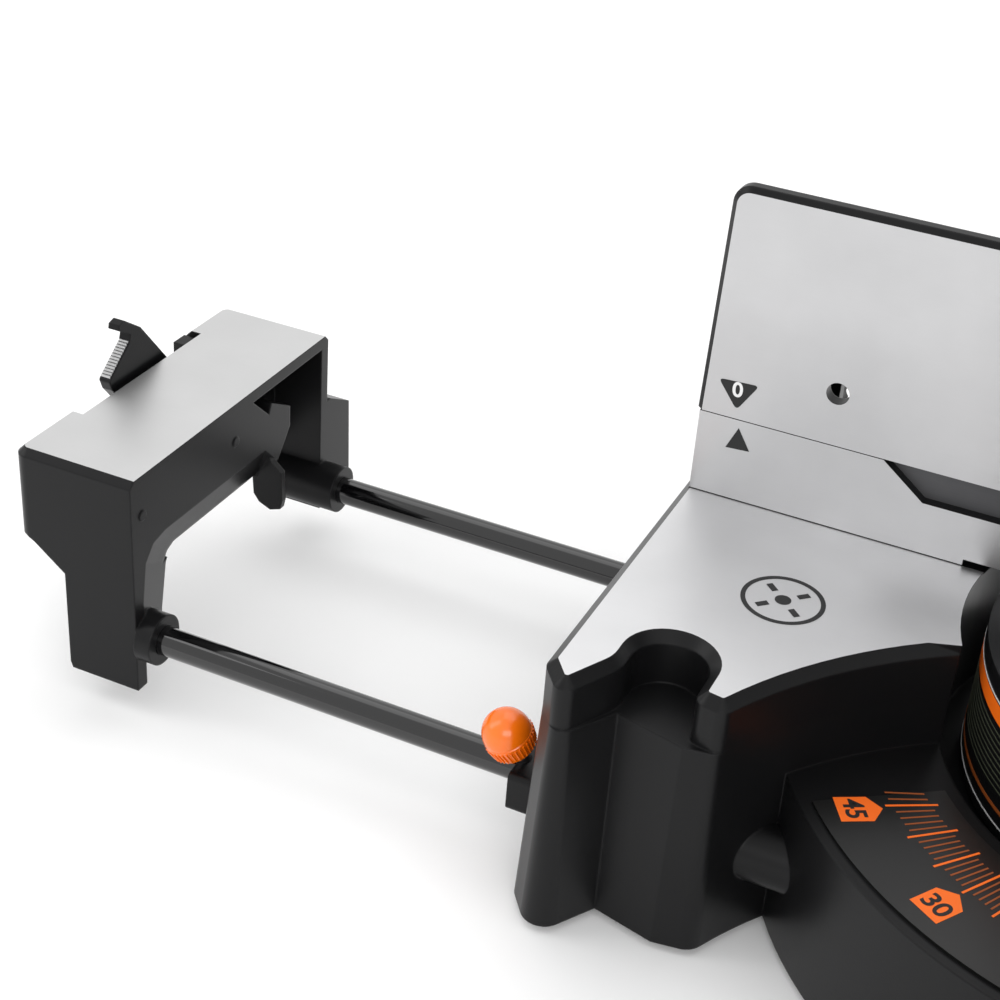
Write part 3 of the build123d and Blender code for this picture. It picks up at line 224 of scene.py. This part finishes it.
# %% Milled aluminium
def milled(name, colour, rough):
    """Bare milled aluminium: cutter tracks 0.5 mm apart run along the fence."""
    material, tree, shader = start_material(name, Metallic=1.0)
    tracks = object_noise(tree, 0.5, 2.0, (0.03, 1.0, 1.0))
    cloud = object_noise(tree, 45, 4.0)
    vary(tree, shader, "Base Color", cloud, linear(colour[0]), linear(colour[1]))
    vary(tree, shader, "Roughness", tracks, rough - 0.04, rough + 0.08)
    bump_from(tree, shader, tracks, 0.06, 0.0001)
    return material


WING_TOP = milled("milled_aluminium_wing", ("#c8c8c8", "#d6d6d6"), 0.40)
# The table top is the same milled aluminium as the wing top, given a lighter colour: painted light
# that offsets the shade the head casts on the table.
TABLE_MILLED_PAINTED_LIGHTER = milled("milled_aluminium_table_painted_lighter", ("#d0d0d1", "#e2e2e3"), 0.42)
FENCE = milled("ground_fence_aluminium", ("#bcbcbd", "#d0d0d1"), 0.40)
AS_CAST = milled("as_cast_aluminium", ("#5a5a5c", "#747476"), 0.62)


# %% Other finishes
def moulded(name, colour, rough, grain_mm=0.6, strength=0.12, **values):
    """Injection moulded plastic or rubber with a spark-eroded grain."""
    material, tree, shader = start_material(name, Roughness=rough, IOR=1.49, **values)
    grain = object_noise(tree, grain_mm, 3.0)
    cloud = object_noise(tree, 30, 2.0)
    vary(tree, shader, "Base Color", cloud, linear(colour[0]), linear(colour[1]))
    bump_from(tree, shader, grain, strength, 0.0002)
    return material


def plated(name, colour, rough):
    """Zinc plated or ground steel, with fine streaks."""
    material, tree, shader = start_material(name, Metallic=1.0)
    streaks = object_noise(tree, 0.7, 3.0, (1.0, 0.2, 1.0))
    vary(tree, shader, "Base Color", streaks, linear(colour[0]), linear(colour[1]))
    vary(tree, shader, "Roughness", streaks, rough - 0.06, rough + 0.08)
    return material


TUBE = moulded("gloss_black_lacquer_on_steel", ("#060607", "#0b0b0c"), 0.10, 8, 0.02,
               Coat_Weight=0.6, Coat_Roughness=0.05)
ORANGE = moulded("orange_abs", ("#f26a00", "#ff7a08"), 0.26, 0.5, 0.05,
                 Coat_Weight=0.4, Coat_Roughness=0.08)
BLACK_ABS = moulded("black_abs", ("#141415", "#1b1b1c"), 0.5)
RUBBER = moulded("soft_black_rubber", ("#101011", "#171718"), 0.75)
RED_ABS = moulded("red_abs", ("#8c1d12", "#9c2416"), 0.5)
SMOKED = moulded("smoked_polycarbonate", ("#19191b", "#202023"), 0.18, 5, 0.02, Coat_Weight=0.4)
ZINC = plated("zinc_plated_steel", ("#a9a9ad", "#c2c2c6"), 0.32)
BLADE = plated("ground_blade_steel", ("#9a9a9e", "#b4b4b8"), 0.28)
WORN = plated("worn_bare_edge", ("#b4b4b4", "#d8d8d8"), 0.45)
PLATE = moulded("black_label_film", ("#090909", "#0d0d0c"), 0.32, 1.5, 0.03)
INK_BLACK = moulded("black_screen_ink", ("#0d0d0e", "#131314"), 0.5, 1.5, 0.03)
INK_ORANGE = moulded("orange_screen_ink", ("#f8680a", "#ff7614"), 0.45, 1.5, 0.03)
INK_DIM = moulded("worn_orange_screen_ink", ("#8a4416", "#9c4e1c"), 0.5, 1.5, 0.03)
INK_GREEN = moulded("grey_green_screen_ink", ("#3c4032", "#484c3c"), 0.5, 1.5, 0.03)
INK_WHITE = moulded("white_screen_ink", ("#dcdcdc", "#e6e6e6"), 0.45, 1.5, 0.03)
FLOOR_PAINT = moulded("white_studio_floor", ("#fcfcfc", "#ffffff"), 0.9, 4, 0.0)
floor.data.materials.append(FLOOR_PAINT)

# %% [markdown]
# ## Dressing the CAD parts
# Each CAD node gets one finish, and the castings that are milled after painting get a second
# slot for the faces that lie in the milled plane. Only the faces' slot numbers change: the
# shape stays as it was drawn.

# %% One finish for each node
FINISH = {
    COAT: ["base_casting", "turntable", "tilt_bracket", "head_arm", "gear_case", "wing_casting_left",
           "wing_casting_right", "flip_stop_left", "flip_stop_right", "rod_clamp_block_left",
           "rod_clamp_block_right", "lower_fence", "upper_fence_left", "upper_fence_right"],
    TUBE: ["wing_rods_left", "wing_rods_right"],
    ORANGE: ["wing_lock_knob_left", "wing_lock_knob_right", "motor_housing", "trigger",
             "lock_off_button", "mitre_pointer"],
    BLACK_ABS: ["motor_end_cap", "brush_caps", "dust_port", "fence_lock_knob_left",
                "fence_lock_knob_right", "mitre_lock_handle", "detent_lever", "tilt_lock_lever",
                "return_spring_cup", "carry_handle"],
    RUBBER: ["rubber_feet", "main_handle", "cord_gland"],
    RED_ABS: ["kerf_plates"],
    SMOKED: ["lower_guard"],
    ZINC: ["trigger_pin", "fence_bolts", "kerf_screws", "detent_bracket", "mitre_pivot_bolt",
           "tilt_pivot_bolt", "head_pivot_pin", "arbor_shaft", "outer_flange", "inner_flange",
           "arbor_bolt", "end_cap_screws", "head_lock_pin", "flip_stop_pin_left",
           "flip_stop_pin_right", "wing_lock_stud_left", "wing_lock_stud_right"],
    BLADE: ["saw_blade"],
    PLATE: ["mitre_scale_plate"],
}
dressed = set()
for finish, names in FINISH.items():
    for name in names:
        part = nodes[name]
        part.data.materials.clear()
        part.data.materials.append(finish)
        dressed.add(name)
print("dressed", len(dressed), "left over", sorted(set(nodes) - dressed))

# %% Milled faces
SAME_PLANE = 0.05 * MM
SAME_WAY = 0.9


def mill(name, metal, axis, value, facing):
    """Gives the faces of one flat plane the bare metal slot."""
    mesh = nodes[name].data
    mesh.materials.append(metal)
    count = 0
    for face in mesh.polygons:
        in_plane = abs(face.center[axis] - value) < SAME_PLANE
        if in_plane and face.normal[axis] * facing > SAME_WAY:
            face.material_index = len(mesh.materials) - 1
            count += 1
    print("milled", name, count, "faces")


table_z = frame["record"]["mounts"][1]["pos_m"][2]
fence_y = frame["record"]["mounts"][3]["pos_m"][1]
FENCE_STEP = 5.0 * MM
# The base's top takes the table finish, whose colour is painted lighter to offset the head's shade.
mill("base_casting", TABLE_MILLED_PAINTED_LIGHTER, 2, table_z, 1)
for name in ("wing_casting_left", "wing_casting_right"):
    mill(name, WING_TOP, 2, table_z, 1)
for name in ("lower_fence", "upper_fence_left", "upper_fence_right"):
    mill(name, FENCE, 1, fence_y, -1)
mill("lower_fence", AS_CAST, 1, fence_y + FENCE_STEP, -1)

# %% [markdown]
# ## Printed marks
# The marks are screen ink on the finished metal. Each is drawn flat, in millimetres, as a
# filled 2D curve: closed outlines inside one another fill by turns, so a ring is two circles.
# The curve is turned into a mesh before it is laid on its face, so that the piece itself
# stays at the origin.

# %% Printing helpers
INK = 0.12 * MM
CAP_HEIGHT = 0.7  # of the font's size
BOLDER = 0.03  # of the digits' height


def face_frame(place, across, upward):
    """The turn and place of a flat face, from its origin, its reading direction and its up."""
    x, y = Vector(across).normalized(), Vector(upward).normalized()
    turn_to = Matrix((x, y, x.cross(y))).transposed().to_4x4()
    return Matrix.Translation(Vector(place) * MM) @ turn_to


def lay(curve, where, ink, body, lift=0.0):
    """Turns a flat curve into a thin mesh on the face and lets it ride on a body."""
    curve.extrude = INK / 2
    curve.materials.append(ink)
    drawn = bpy.data.objects.new(curve.name + "_curve", curve)
    scene.collection.objects.link(drawn)
    bpy.context.view_layer.update()
    graph = bpy.context.evaluated_depsgraph_get()
    mesh = bpy.data.meshes.new_from_object(drawn.evaluated_get(graph))
    name = curve.name
    bpy.data.objects.remove(drawn)
    mesh.transform(where @ Matrix.Translation((0, 0, INK / 2 + lift * MM)))
    piece = bpy.data.objects.new(name, mesh)
    scene.collection.objects.link(piece)
    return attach(piece, body)


def print_shape(name, outlines, where, ink, body, lift=0.0):
    """Prints closed outlines, given in millimetres on the face."""
    curve = bpy.data.curves.new(name, "CURVE")
    curve.dimensions = "2D"
    curve.fill_mode = "BOTH"
    for outline in outlines:
        spline = curve.splines.new("POLY")
        spline.points.add(len(outline) - 1)
        for point, (x, y) in zip(spline.points, outline):
            point.co = (x * MM, y * MM, 0, 1)
        spline.use_cyclic_u = True
    return lay(curve, where, ink, body, lift)


def print_digits(name, digits, height, where, ink, body, lift=0.0):
    """Prints the digits of a scale, centred on the face's origin."""
    curve = bpy.data.curves.new(name, "FONT")
    curve.body = digits
    curve.size = height * MM / CAP_HEIGHT
    curve.align_x = "CENTER"
    curve.align_y = "CENTER"
    curve.offset = BOLDER * height * MM
    return lay(curve, where, ink, body, lift)


def circle(radius, steps=64):
    """A closed outline round the face's origin."""
    turns = [2 * pi * step / steps for step in range(steps)]
    return [(radius * cos(a), radius * sin(a)) for a in turns]


def rounded(corners, radius, steps=5):
    """A closed outline with its corners rounded by small curves."""
    outline = []
    earlier, later = corners[-1:] + corners[:-1], corners[1:] + corners[:1]
    for before, corner, after in zip(earlier, corners, later):
        corner = Vector(corner)
        start = corner + (Vector(before) - corner).normalized() * radius
        end = corner + (Vector(after) - corner).normalized() * radius
        for step in range(steps + 1):
            s = step / steps
            point = start * (1 - s) ** 2 + corner * 2 * s * (1 - s) + end * s ** 2
            outline.append((point.x, point.y))
    return outline


# %% [markdown]
# A ring with a dot and four short ticks marks the table on each side of the kerf. The fence
# carries a zero in a rounded triangle, and the lower fence an arrow that the zero meets when
# the sliding fence is fully in.

# %% Marks on the table and the fence
RING_R, RING_WIDTH, DOT_R = 16.4, 1.9, 3.2
RING_PLACE = (-167.3, -40.7)
TICK = ((6.5, -1.3), (11.5, -1.3), (11.5, 1.3), (6.5, 1.3))
ZERO_PLACE, ZERO_LEAN = (-213.2, 168.0), 0.05
ZERO_OUTLINE = rounded([(-8.6, 4.0), (8.6, 4.0), (0.0, -8.6)], 2.4)
DIGIT_PLACE, DIGIT_HEIGHT = (-213.4, 168.2), 6.4
ARROW_PLACE, ARROW_LEAN = (-210.2, 145.2), 0.07
ARROW_OUTLINE = [(-5.1, -3.4), (5.1, -3.4), (0.0, 6.4)]


def on_fence(side, place, lean):
    """A frame on the fence face, leaned a little in its own plane."""
    spot = (side * place[0], fence_y / MM, place[1])
    return face_frame(spot, (1, 0, lean), (-lean, 0, 1))


for side, word in ((1, "left"), (-1, "right")):
    spot = (side * RING_PLACE[0], RING_PLACE[1], table_z / MM)
    mark = face_frame(spot, (1, 0, 0), (0, 1, 0))
    ticks = []
    for quarter in range(4):
        a = radians(45 + 90 * quarter)
        along, across = Vector((cos(a), sin(a))), Vector((-sin(a), cos(a)))
        ends = [along * r + across * w for r, w in TICK]
        ticks.append([(end.x, end.y) for end in ends])
    rings = [circle(RING_R), circle(RING_R - RING_WIDTH), circle(DOT_R)]
    print_shape("table_ring_mark_" + word, rings + ticks, mark, INK_BLACK, "base")
    fence = "upper_fence_" + word
    zero = on_fence(side, ZERO_PLACE, ZERO_LEAN)
    print_shape("fence_zero_mark_" + word, [ZERO_OUTLINE], zero, INK_BLACK, fence)
    digit = on_fence(side, DIGIT_PLACE, ZERO_LEAN)
    print_digits("fence_zero_digit_" + word, "0", DIGIT_HEIGHT, digit, INK_WHITE, fence, 0.08)
    arrow = on_fence(side, ARROW_PLACE, ARROW_LEAN)
    print_shape("fence_arrow_mark_" + word, [ARROW_OUTLINE], arrow, INK_BLACK, "base")
print("ring, zero and arrow printed on both sides")

# %% [markdown]
# ## Mitre scale
# The scale has a tick for each degree and a longer one every five. Ticks repeat, so Geometry
# Nodes make them: a line of points is bent on an arc by its own index, and each chosen point
# gets one flat bar. The tree runs twice, once for the short ticks and once for the long ones.
# The printed spread widens, and the ticks lean, towards the ends of the arc.

# %% Tree helpers
def start_tree(name, sockets):
    """A geometry tree with named inputs. sockets maps a name to its kind and default."""
    tree = bpy.data.node_groups.new(name, "GeometryNodeTree")
    tree.interface.new_socket("Geometry", in_out="OUTPUT", socket_type="NodeSocketGeometry")
    for label, (kind, default) in sockets.items():
        socket = tree.interface.new_socket(label, in_out="INPUT", socket_type="NodeSocket" + kind)
        if default is not None:
            socket.default_value = default
    given = add_node(tree, "NodeGroupInput").outputs
    return tree, given


def maths(tree, operation, *values):
    """One Math node's result."""
    return add_node(tree, "ShaderNodeMath", dict(enumerate(values)), operation=operation).outputs[0]


def finish_tree(tree, instances, material):
    """Realises the instances, sets their finish and closes the tree."""
    real = add_node(tree, "GeometryNodeRealizeInstances", {0: instances})
    painted = add_node(tree, "GeometryNodeSetMaterial", {0: real.outputs[0], "Material": material})
    add_node(tree, "NodeGroupOutput", {0: painted.outputs[0]})
    return tree


def bake(name, tree, values, where, body):
    """Runs a tree with the given inputs and keeps its result as one plain mesh on a body."""
    piece = bpy.data.objects.new(name, bpy.data.meshes.new(name))
    scene.collection.objects.link(piece)
    build = piece.modifiers.new("build", "NODES")
    build.node_group = tree
    for item in tree.interface.items_tree:
        if item.in_out == "INPUT" and item.name in values:
            build[item.identifier] = values[item.name]
    bpy.context.view_layer.update()
    graph = bpy.context.evaluated_depsgraph_get()
    result = bpy.data.meshes.new_from_object(piece.evaluated_get(graph))
    piece.modifiers.clear()
    piece.data = result
    result.transform(where)
    print("made", name, len(result.polygons), "faces")
    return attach(piece, body)


# %% Scale ticks
FULL_TURN = 45.0
SPREAD = 6.0
SPREAD_POWER = 3.75
LEAN = 8.6


def shown_angle(degrees):
    """Where a reading is printed on the arc, in degrees."""
    return degrees + (1 if degrees > 0 else -1) * SPREAD * abs(degrees / FULL_TURN) ** SPREAD_POWER


tick_tree, given = start_tree("scale_ticks", {
    "Count": ("Int", 95), "Radius": ("Float", 0.127), "Length": ("Float", 0.0148),
    "Width": ("Float", 0.0007), "Every": ("Int", 5), "Wanted": ("Int", 0),
    "Finish": ("Material", None),
})
line = add_node(tick_tree, "GeometryNodeMeshLine", {"Count": given["Count"]})
index = add_node(tick_tree, "GeometryNodeInputIndex").outputs[0]
middle = maths(tick_tree, "DIVIDE", maths(tick_tree, "SUBTRACT", given["Count"], 1.0), 2.0)
reading = maths(tick_tree, "SUBTRACT", index, middle)
part_of_turn = maths(tick_tree, "DIVIDE", maths(tick_tree, "ABSOLUTE", reading), FULL_TURN)
share = maths(tick_tree, "POWER", part_of_turn, SPREAD_POWER)
signed = maths(tick_tree, "MULTIPLY", share, maths(tick_tree, "SIGN", reading))
angle = maths(tick_tree, "RADIANS", maths(tick_tree, "MULTIPLY_ADD", signed, SPREAD, reading))
turned = maths(tick_tree, "MULTIPLY_ADD", signed, radians(LEAN), angle)
reach = maths(tick_tree, "MULTIPLY", given["Radius"], -1.0)
x = maths(tick_tree, "MULTIPLY", maths(tick_tree, "SINE", angle), reach)
y = maths(tick_tree, "MULTIPLY", maths(tick_tree, "COSINE", angle), reach)
spot = add_node(tick_tree, "ShaderNodeCombineXYZ", {0: x, 1: y})
placed = add_node(tick_tree, "GeometryNodeSetPosition",
                  {0: line.outputs[0], "Position": spot.outputs[0]})
size = add_node(tick_tree, "ShaderNodeCombineXYZ", {0: given["Width"], 1: given["Length"], 2: INK})
bar = add_node(tick_tree, "GeometryNodeMeshCube", {"Size": size.outputs[0]})
euler = add_node(tick_tree, "ShaderNodeCombineXYZ", {2: maths(tick_tree, "MULTIPLY", turned, -1.0)})
rotation = add_node(tick_tree, "FunctionNodeEulerToRotation", {0: euler.outputs[0]})
rest_of = maths(tick_tree, "FLOORED_MODULO", reading, given["Every"])
is_long = maths(tick_tree, "LESS_THAN", rest_of, 0.5)
chosen = maths(tick_tree, "COMPARE", is_long, given["Wanted"], 0.1)
ticks = add_node(tick_tree, "GeometryNodeInstanceOnPoints", {
    "Points": placed.outputs[0], "Instance": bar.outputs[0], "Rotation": rotation.outputs[0],
    "Selection": chosen,
})
finish_tree(tick_tree, ticks.outputs[0], given["Finish"])

PLATE_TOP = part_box("mitre_scale_plate")[1].z
on_plate = Matrix.Translation((0, 0, PLATE_TOP + INK / 2))
short_ticks = {"Finish": INK_DIM, "Wanted": 0}
long_ticks = {"Finish": INK_ORANGE, "Wanted": 1, "Length": 0.0200, "Width": 0.0009}
bake("scale_short_ticks", tick_tree, short_ticks, on_plate, "base")
bake("scale_long_ticks", tick_tree, long_ticks, on_plate, "base")

# %% Numbered flags of the scale
FLAG_TIP_R = 138.5
FLAG = [(-6.6, -17.2), (6.6, -17.2), (6.6, -4.8), (0.0, 0.0), (-6.6, -4.8)]
FLAG_MIDDLE = -11.0
SCALE_DIGITS = 7.6
for degrees in (-45, -30, -15, 15, 30, 45):
    place_at = radians(shown_angle(degrees))
    way = 1 if degrees > 0 else -1
    lean_by = radians(LEAN) * way * abs(degrees / FULL_TURN) ** SPREAD_POWER
    facing = place_at + lean_by
    tip = (-FLAG_TIP_R * sin(place_at), -FLAG_TIP_R * cos(place_at), PLATE_TOP / MM)
    upward = (sin(facing), cos(facing), 0)
    across = (cos(facing), -sin(facing), 0)
    label = ("left_" if degrees > 0 else "right_") + str(abs(degrees))
    flag = face_frame(tip, across, upward)
    print_shape("scale_flag_" + label, [FLAG], flag, INK_ORANGE, "base")
    middle_of_flag = flag @ Matrix.Translation((0, FLAG_MIDDLE * MM, 0))
    digits = str(abs(degrees))
    print_digits("scale_digits_" + label, digits, SCALE_DIGITS, middle_of_flag, INK_BLACK, "base", 0.1)
print("scale printed")

# %% [markdown]
# ## Bands round the turntable
# The drum under the table carries a printed band: an orange stripe under a thin white line, a
# set of hairlines, and a dim line above a white one at the rim. Each is a strip bent round the
# drum, built as a closed thin wall.

# %% Drum bands
DRUM_R = 94.5
BAND_T = 0.15
BAND_FROM, BAND_TO = 92.0, 160.0
HAIRLINE = 0.5
HAIRLINES = (98, 95.5, 93, 90.5, 88, 85.5, 83, 80.5, 78)


def drum_band(name, rows, ink):
    """Thin printed rings on each side of the drum. rows are (low, high) in mm."""
    points, faces = [], []
    steps = 48
    for side in (-1, 1):
        for low, high in rows:
            first = len(points)
            for step in range(steps + 1):
                a = radians(BAND_FROM + (BAND_TO - BAND_FROM) * step / steps)
                for r, z in ((0, low), (0, high), (BAND_T, high), (BAND_T, low)):
                    reach = DRUM_R + r
                    points.append((side * reach * sin(a) * MM, reach * cos(a) * MM, z * MM))
            for step in range(steps):
                here, there = first + 4 * step, first + 4 * (step + 1)
                for k in range(4):
                    n = (k + 1) % 4
                    quad = (here + k, there + k, there + n, here + n)
                    faces.append(quad if side < 0 else quad[::-1])
            last = first + 4 * steps
            ends = (tuple(first + k for k in range(4)), tuple(last + k for k in (3, 2, 1, 0)))
            faces.extend(end if side < 0 else end[::-1] for end in ends)
    mesh = bpy.data.meshes.new(name)
    mesh.from_pydata(points, [], faces)
    mesh.materials.append(ink)
    piece = bpy.data.objects.new(name, mesh)
    scene.collection.objects.link(piece)
    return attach(piece, "turntable")


drum_band("drum_orange_stripe", [(101.5, 108.0)], INK_ORANGE)
drum_band("drum_white_line", [(108.8, 109.3)], INK_WHITE)
drum_band("drum_hairlines", [(z, z + HAIRLINE) for z in HAIRLINES], INK_GREEN)
drum_band("drum_red_line", [(70.5, 72.0)], INK_DIM)
drum_band("drum_rim_line", [(65.0, 65.6)], INK_WHITE)
print("drum bands printed")

# %% [markdown]
# ## Wing lock knobs
# The knob is turned in one go: a tapered skirt, a fine groove and a full dome. A profile spun
# round the stud's axis gives that shape with an even skin, which shows a clean highlight.

# %% Knob
LOCK = Vector((-243.0, -92.0, 38.0))
LOCK_AXIS = Vector((-tan(radians(23.0)), -tan(radians(18.5)), 1.0)).normalized()
SKIRT_FOOT, SKIRT_MIDDLE = 16.5, 20.6
DOME_FOOT, DOME_R, DOME_H = 24.9, 10.1, 10.4
DOME_FULLNESS = 0.86
CREASE = radians(40)


def along_lock(side, height):
    """The turn and place of a point on the lock stud's axis."""
    axis = Vector((side * LOCK_AXIS.x, LOCK_AXIS.y, LOCK_AXIS.z))
    foot = Vector((side * LOCK.x, LOCK.y, LOCK.z)) + axis * height
    return Matrix.Translation(foot * MM) @ axis.to_track_quat("Z", "Y").to_matrix().to_4x4()


def spin_profile(name, profile, steps, where, finish):
    """A closed solid spun from (radius, height) points in mm; the ends lie on the axis."""
    points = [(0.0, 0.0, profile[0][1] * MM)]
    for r, h in profile[1:-1]:
        for step in range(steps):
            a = 2 * pi * step / steps
            points.append((r * cos(a) * MM, r * sin(a) * MM, h * MM))
    points.append((0.0, 0.0, profile[-1][1] * MM))
    rings = len(profile) - 2
    faces = []
    for step in range(steps):
        after = (step + 1) % steps
        faces.append((0, 1 + after, 1 + step))
        for ring_no in range(rings - 1):
            low, high = 1 + ring_no * steps, 1 + (ring_no + 1) * steps
            faces.append((low + step, low + after, high + after, high + step))
        last = 1 + (rings - 1) * steps
        faces.append((last + step, last + after, len(points) - 1))
    mesh = bpy.data.meshes.new(name)
    mesh.from_pydata(points, [], faces)
    mesh.materials.append(finish)
    mesh.transform(where)
    mesh.shade_smooth()
    mesh.set_sharp_from_angle(angle=CREASE)
    piece = bpy.data.objects.new(name, mesh)
    scene.collection.objects.link(piece)
    return piece


skirt = [(0, SKIRT_FOOT), (7.9, SKIRT_FOOT), (8.6, 16.8), (9.0, 17.5), (10.1, 23.6), (10.2, 24.2),
         (10.0, 24.5), (9.8, 24.7)]
dome = []
for step in range(18):
    a = radians(5 * step)
    dome.append((DOME_R * cos(a) ** DOME_FULLNESS, DOME_FOOT + DOME_H * sin(a)))
knob_profile = skirt + dome + [(0, DOME_FOOT + DOME_H)]
for side, word in ((1, "left"), (-1, "right")):
    knob = spin_profile("lock_knob_" + word, knob_profile, 72, along_lock(side, 0.0), ORANGE)
    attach(knob, "wing_lock_" + word)
    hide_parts("wing_lock_knob_" + word)
print("knobs spun from", len(knob_profile), "profile points")

# %% [markdown]
# ## Grips and serrations
# The skirt of each round lock knob has fine moulded ribs, and the flip stop's gripping edge
# has a row of teeth. Both are one bar repeated: round an axis in the first tree, and along a
# line in the second.

# %% Ribs round a knob
rib_tree, given = start_tree("ribs_round_axis", {
    "Count": ("Int", 30), "Radius": ("Float", 0.0097), "Length": ("Float", 0.006),
    "Thickness": ("Float", 0.0004), "Tilt": ("Float", 0.2), "Finish": ("Material", None),
})
ring = add_node(rib_tree, "GeometryNodeMeshCircle",
                {"Vertices": given["Count"], "Radius": given["Radius"]})
rod = add_node(rib_tree, "GeometryNodeMeshCylinder",
               {"Vertices": 8, "Radius": given["Thickness"], "Depth": given["Length"]})
step_angle = maths(rib_tree, "DIVIDE", 2 * pi, given["Count"])
spin = maths(rib_tree, "MULTIPLY", add_node(rib_tree, "GeometryNodeInputIndex").outputs[0], step_angle)
euler = add_node(rib_tree, "ShaderNodeCombineXYZ", {1: given["Tilt"], 2: spin})
rotation = add_node(rib_tree, "FunctionNodeEulerToRotation", {0: euler.outputs[0]})
ribs = add_node(rib_tree, "GeometryNodeInstanceOnPoints", {
    "Points": ring.outputs[0], "Instance": rod.outputs["Mesh"], "Rotation": rotation.outputs[0],
})
finish_tree(rib_tree, ribs.outputs[0], given["Finish"])

ribs_made = {"Count": 34, "Radius": 0.0097, "Length": 0.0056, "Tilt": radians(10.2), "Finish": ORANGE}
for side, word in ((1, "left"), (-1, "right")):
    where = along_lock(side, SKIRT_MIDDLE)
    bake("lock_knob_ribs_" + word, rib_tree, ribs_made, where, "wing_lock_" + word)

# %% Teeth along the flip stop
tooth_tree, given = start_tree("teeth_along_line", {
    "Count": ("Int", 14), "Pitch": ("Float", 0.0015), "Width": ("Float", 0.005),
    "Size": ("Float", 0.0009), "Finish": ("Material", None),
})
step_along = add_node(tooth_tree, "ShaderNodeCombineXYZ", {1: given["Pitch"]})
row = add_node(tooth_tree, "GeometryNodeMeshLine",
               {"Count": given["Count"], "Offset": step_along.outputs[0]})
tooth_size = add_node(tooth_tree, "ShaderNodeCombineXYZ",
                      {0: given["Width"], 1: given["Size"], 2: given["Size"]})
tooth = add_node(tooth_tree, "GeometryNodeMeshCube", {"Size": tooth_size.outputs[0]})
quarter = add_node(tooth_tree, "ShaderNodeCombineXYZ", {0: pi / 4})
rotation = add_node(tooth_tree, "FunctionNodeEulerToRotation", {0: quarter.outputs[0]})
teeth = add_node(tooth_tree, "GeometryNodeInstanceOnPoints", {
    "Points": row.outputs[0], "Instance": tooth.outputs["Mesh"], "Rotation": rotation.outputs[0],
})
finish_tree(tooth_tree, teeth.outputs[0], given["Finish"])

EDGE_TOP, EDGE_FOOT = Vector((-21.5, 135.0)), Vector((-37.5, 122.2))
STOP_X = 482.0
run = EDGE_FOOT - EDGE_TOP
down_edge = Vector((0, run.x, run.y)).to_track_quat("Y", "Z").to_matrix().to_4x4()
teeth_made = {"Count": 13, "Pitch": run.length * MM / 13.5, "Width": 0.0048, "Finish": WORN}
for side, word in ((-1, "left"), (1, "right")):
    start = Vector((side * STOP_X, EDGE_TOP.x, EDGE_TOP.y)) * MM
    where = Matrix.Translation(start) @ down_edge
    bake("flip_stop_teeth_" + word, tooth_tree, teeth_made, where, "flip_stop_" + word)
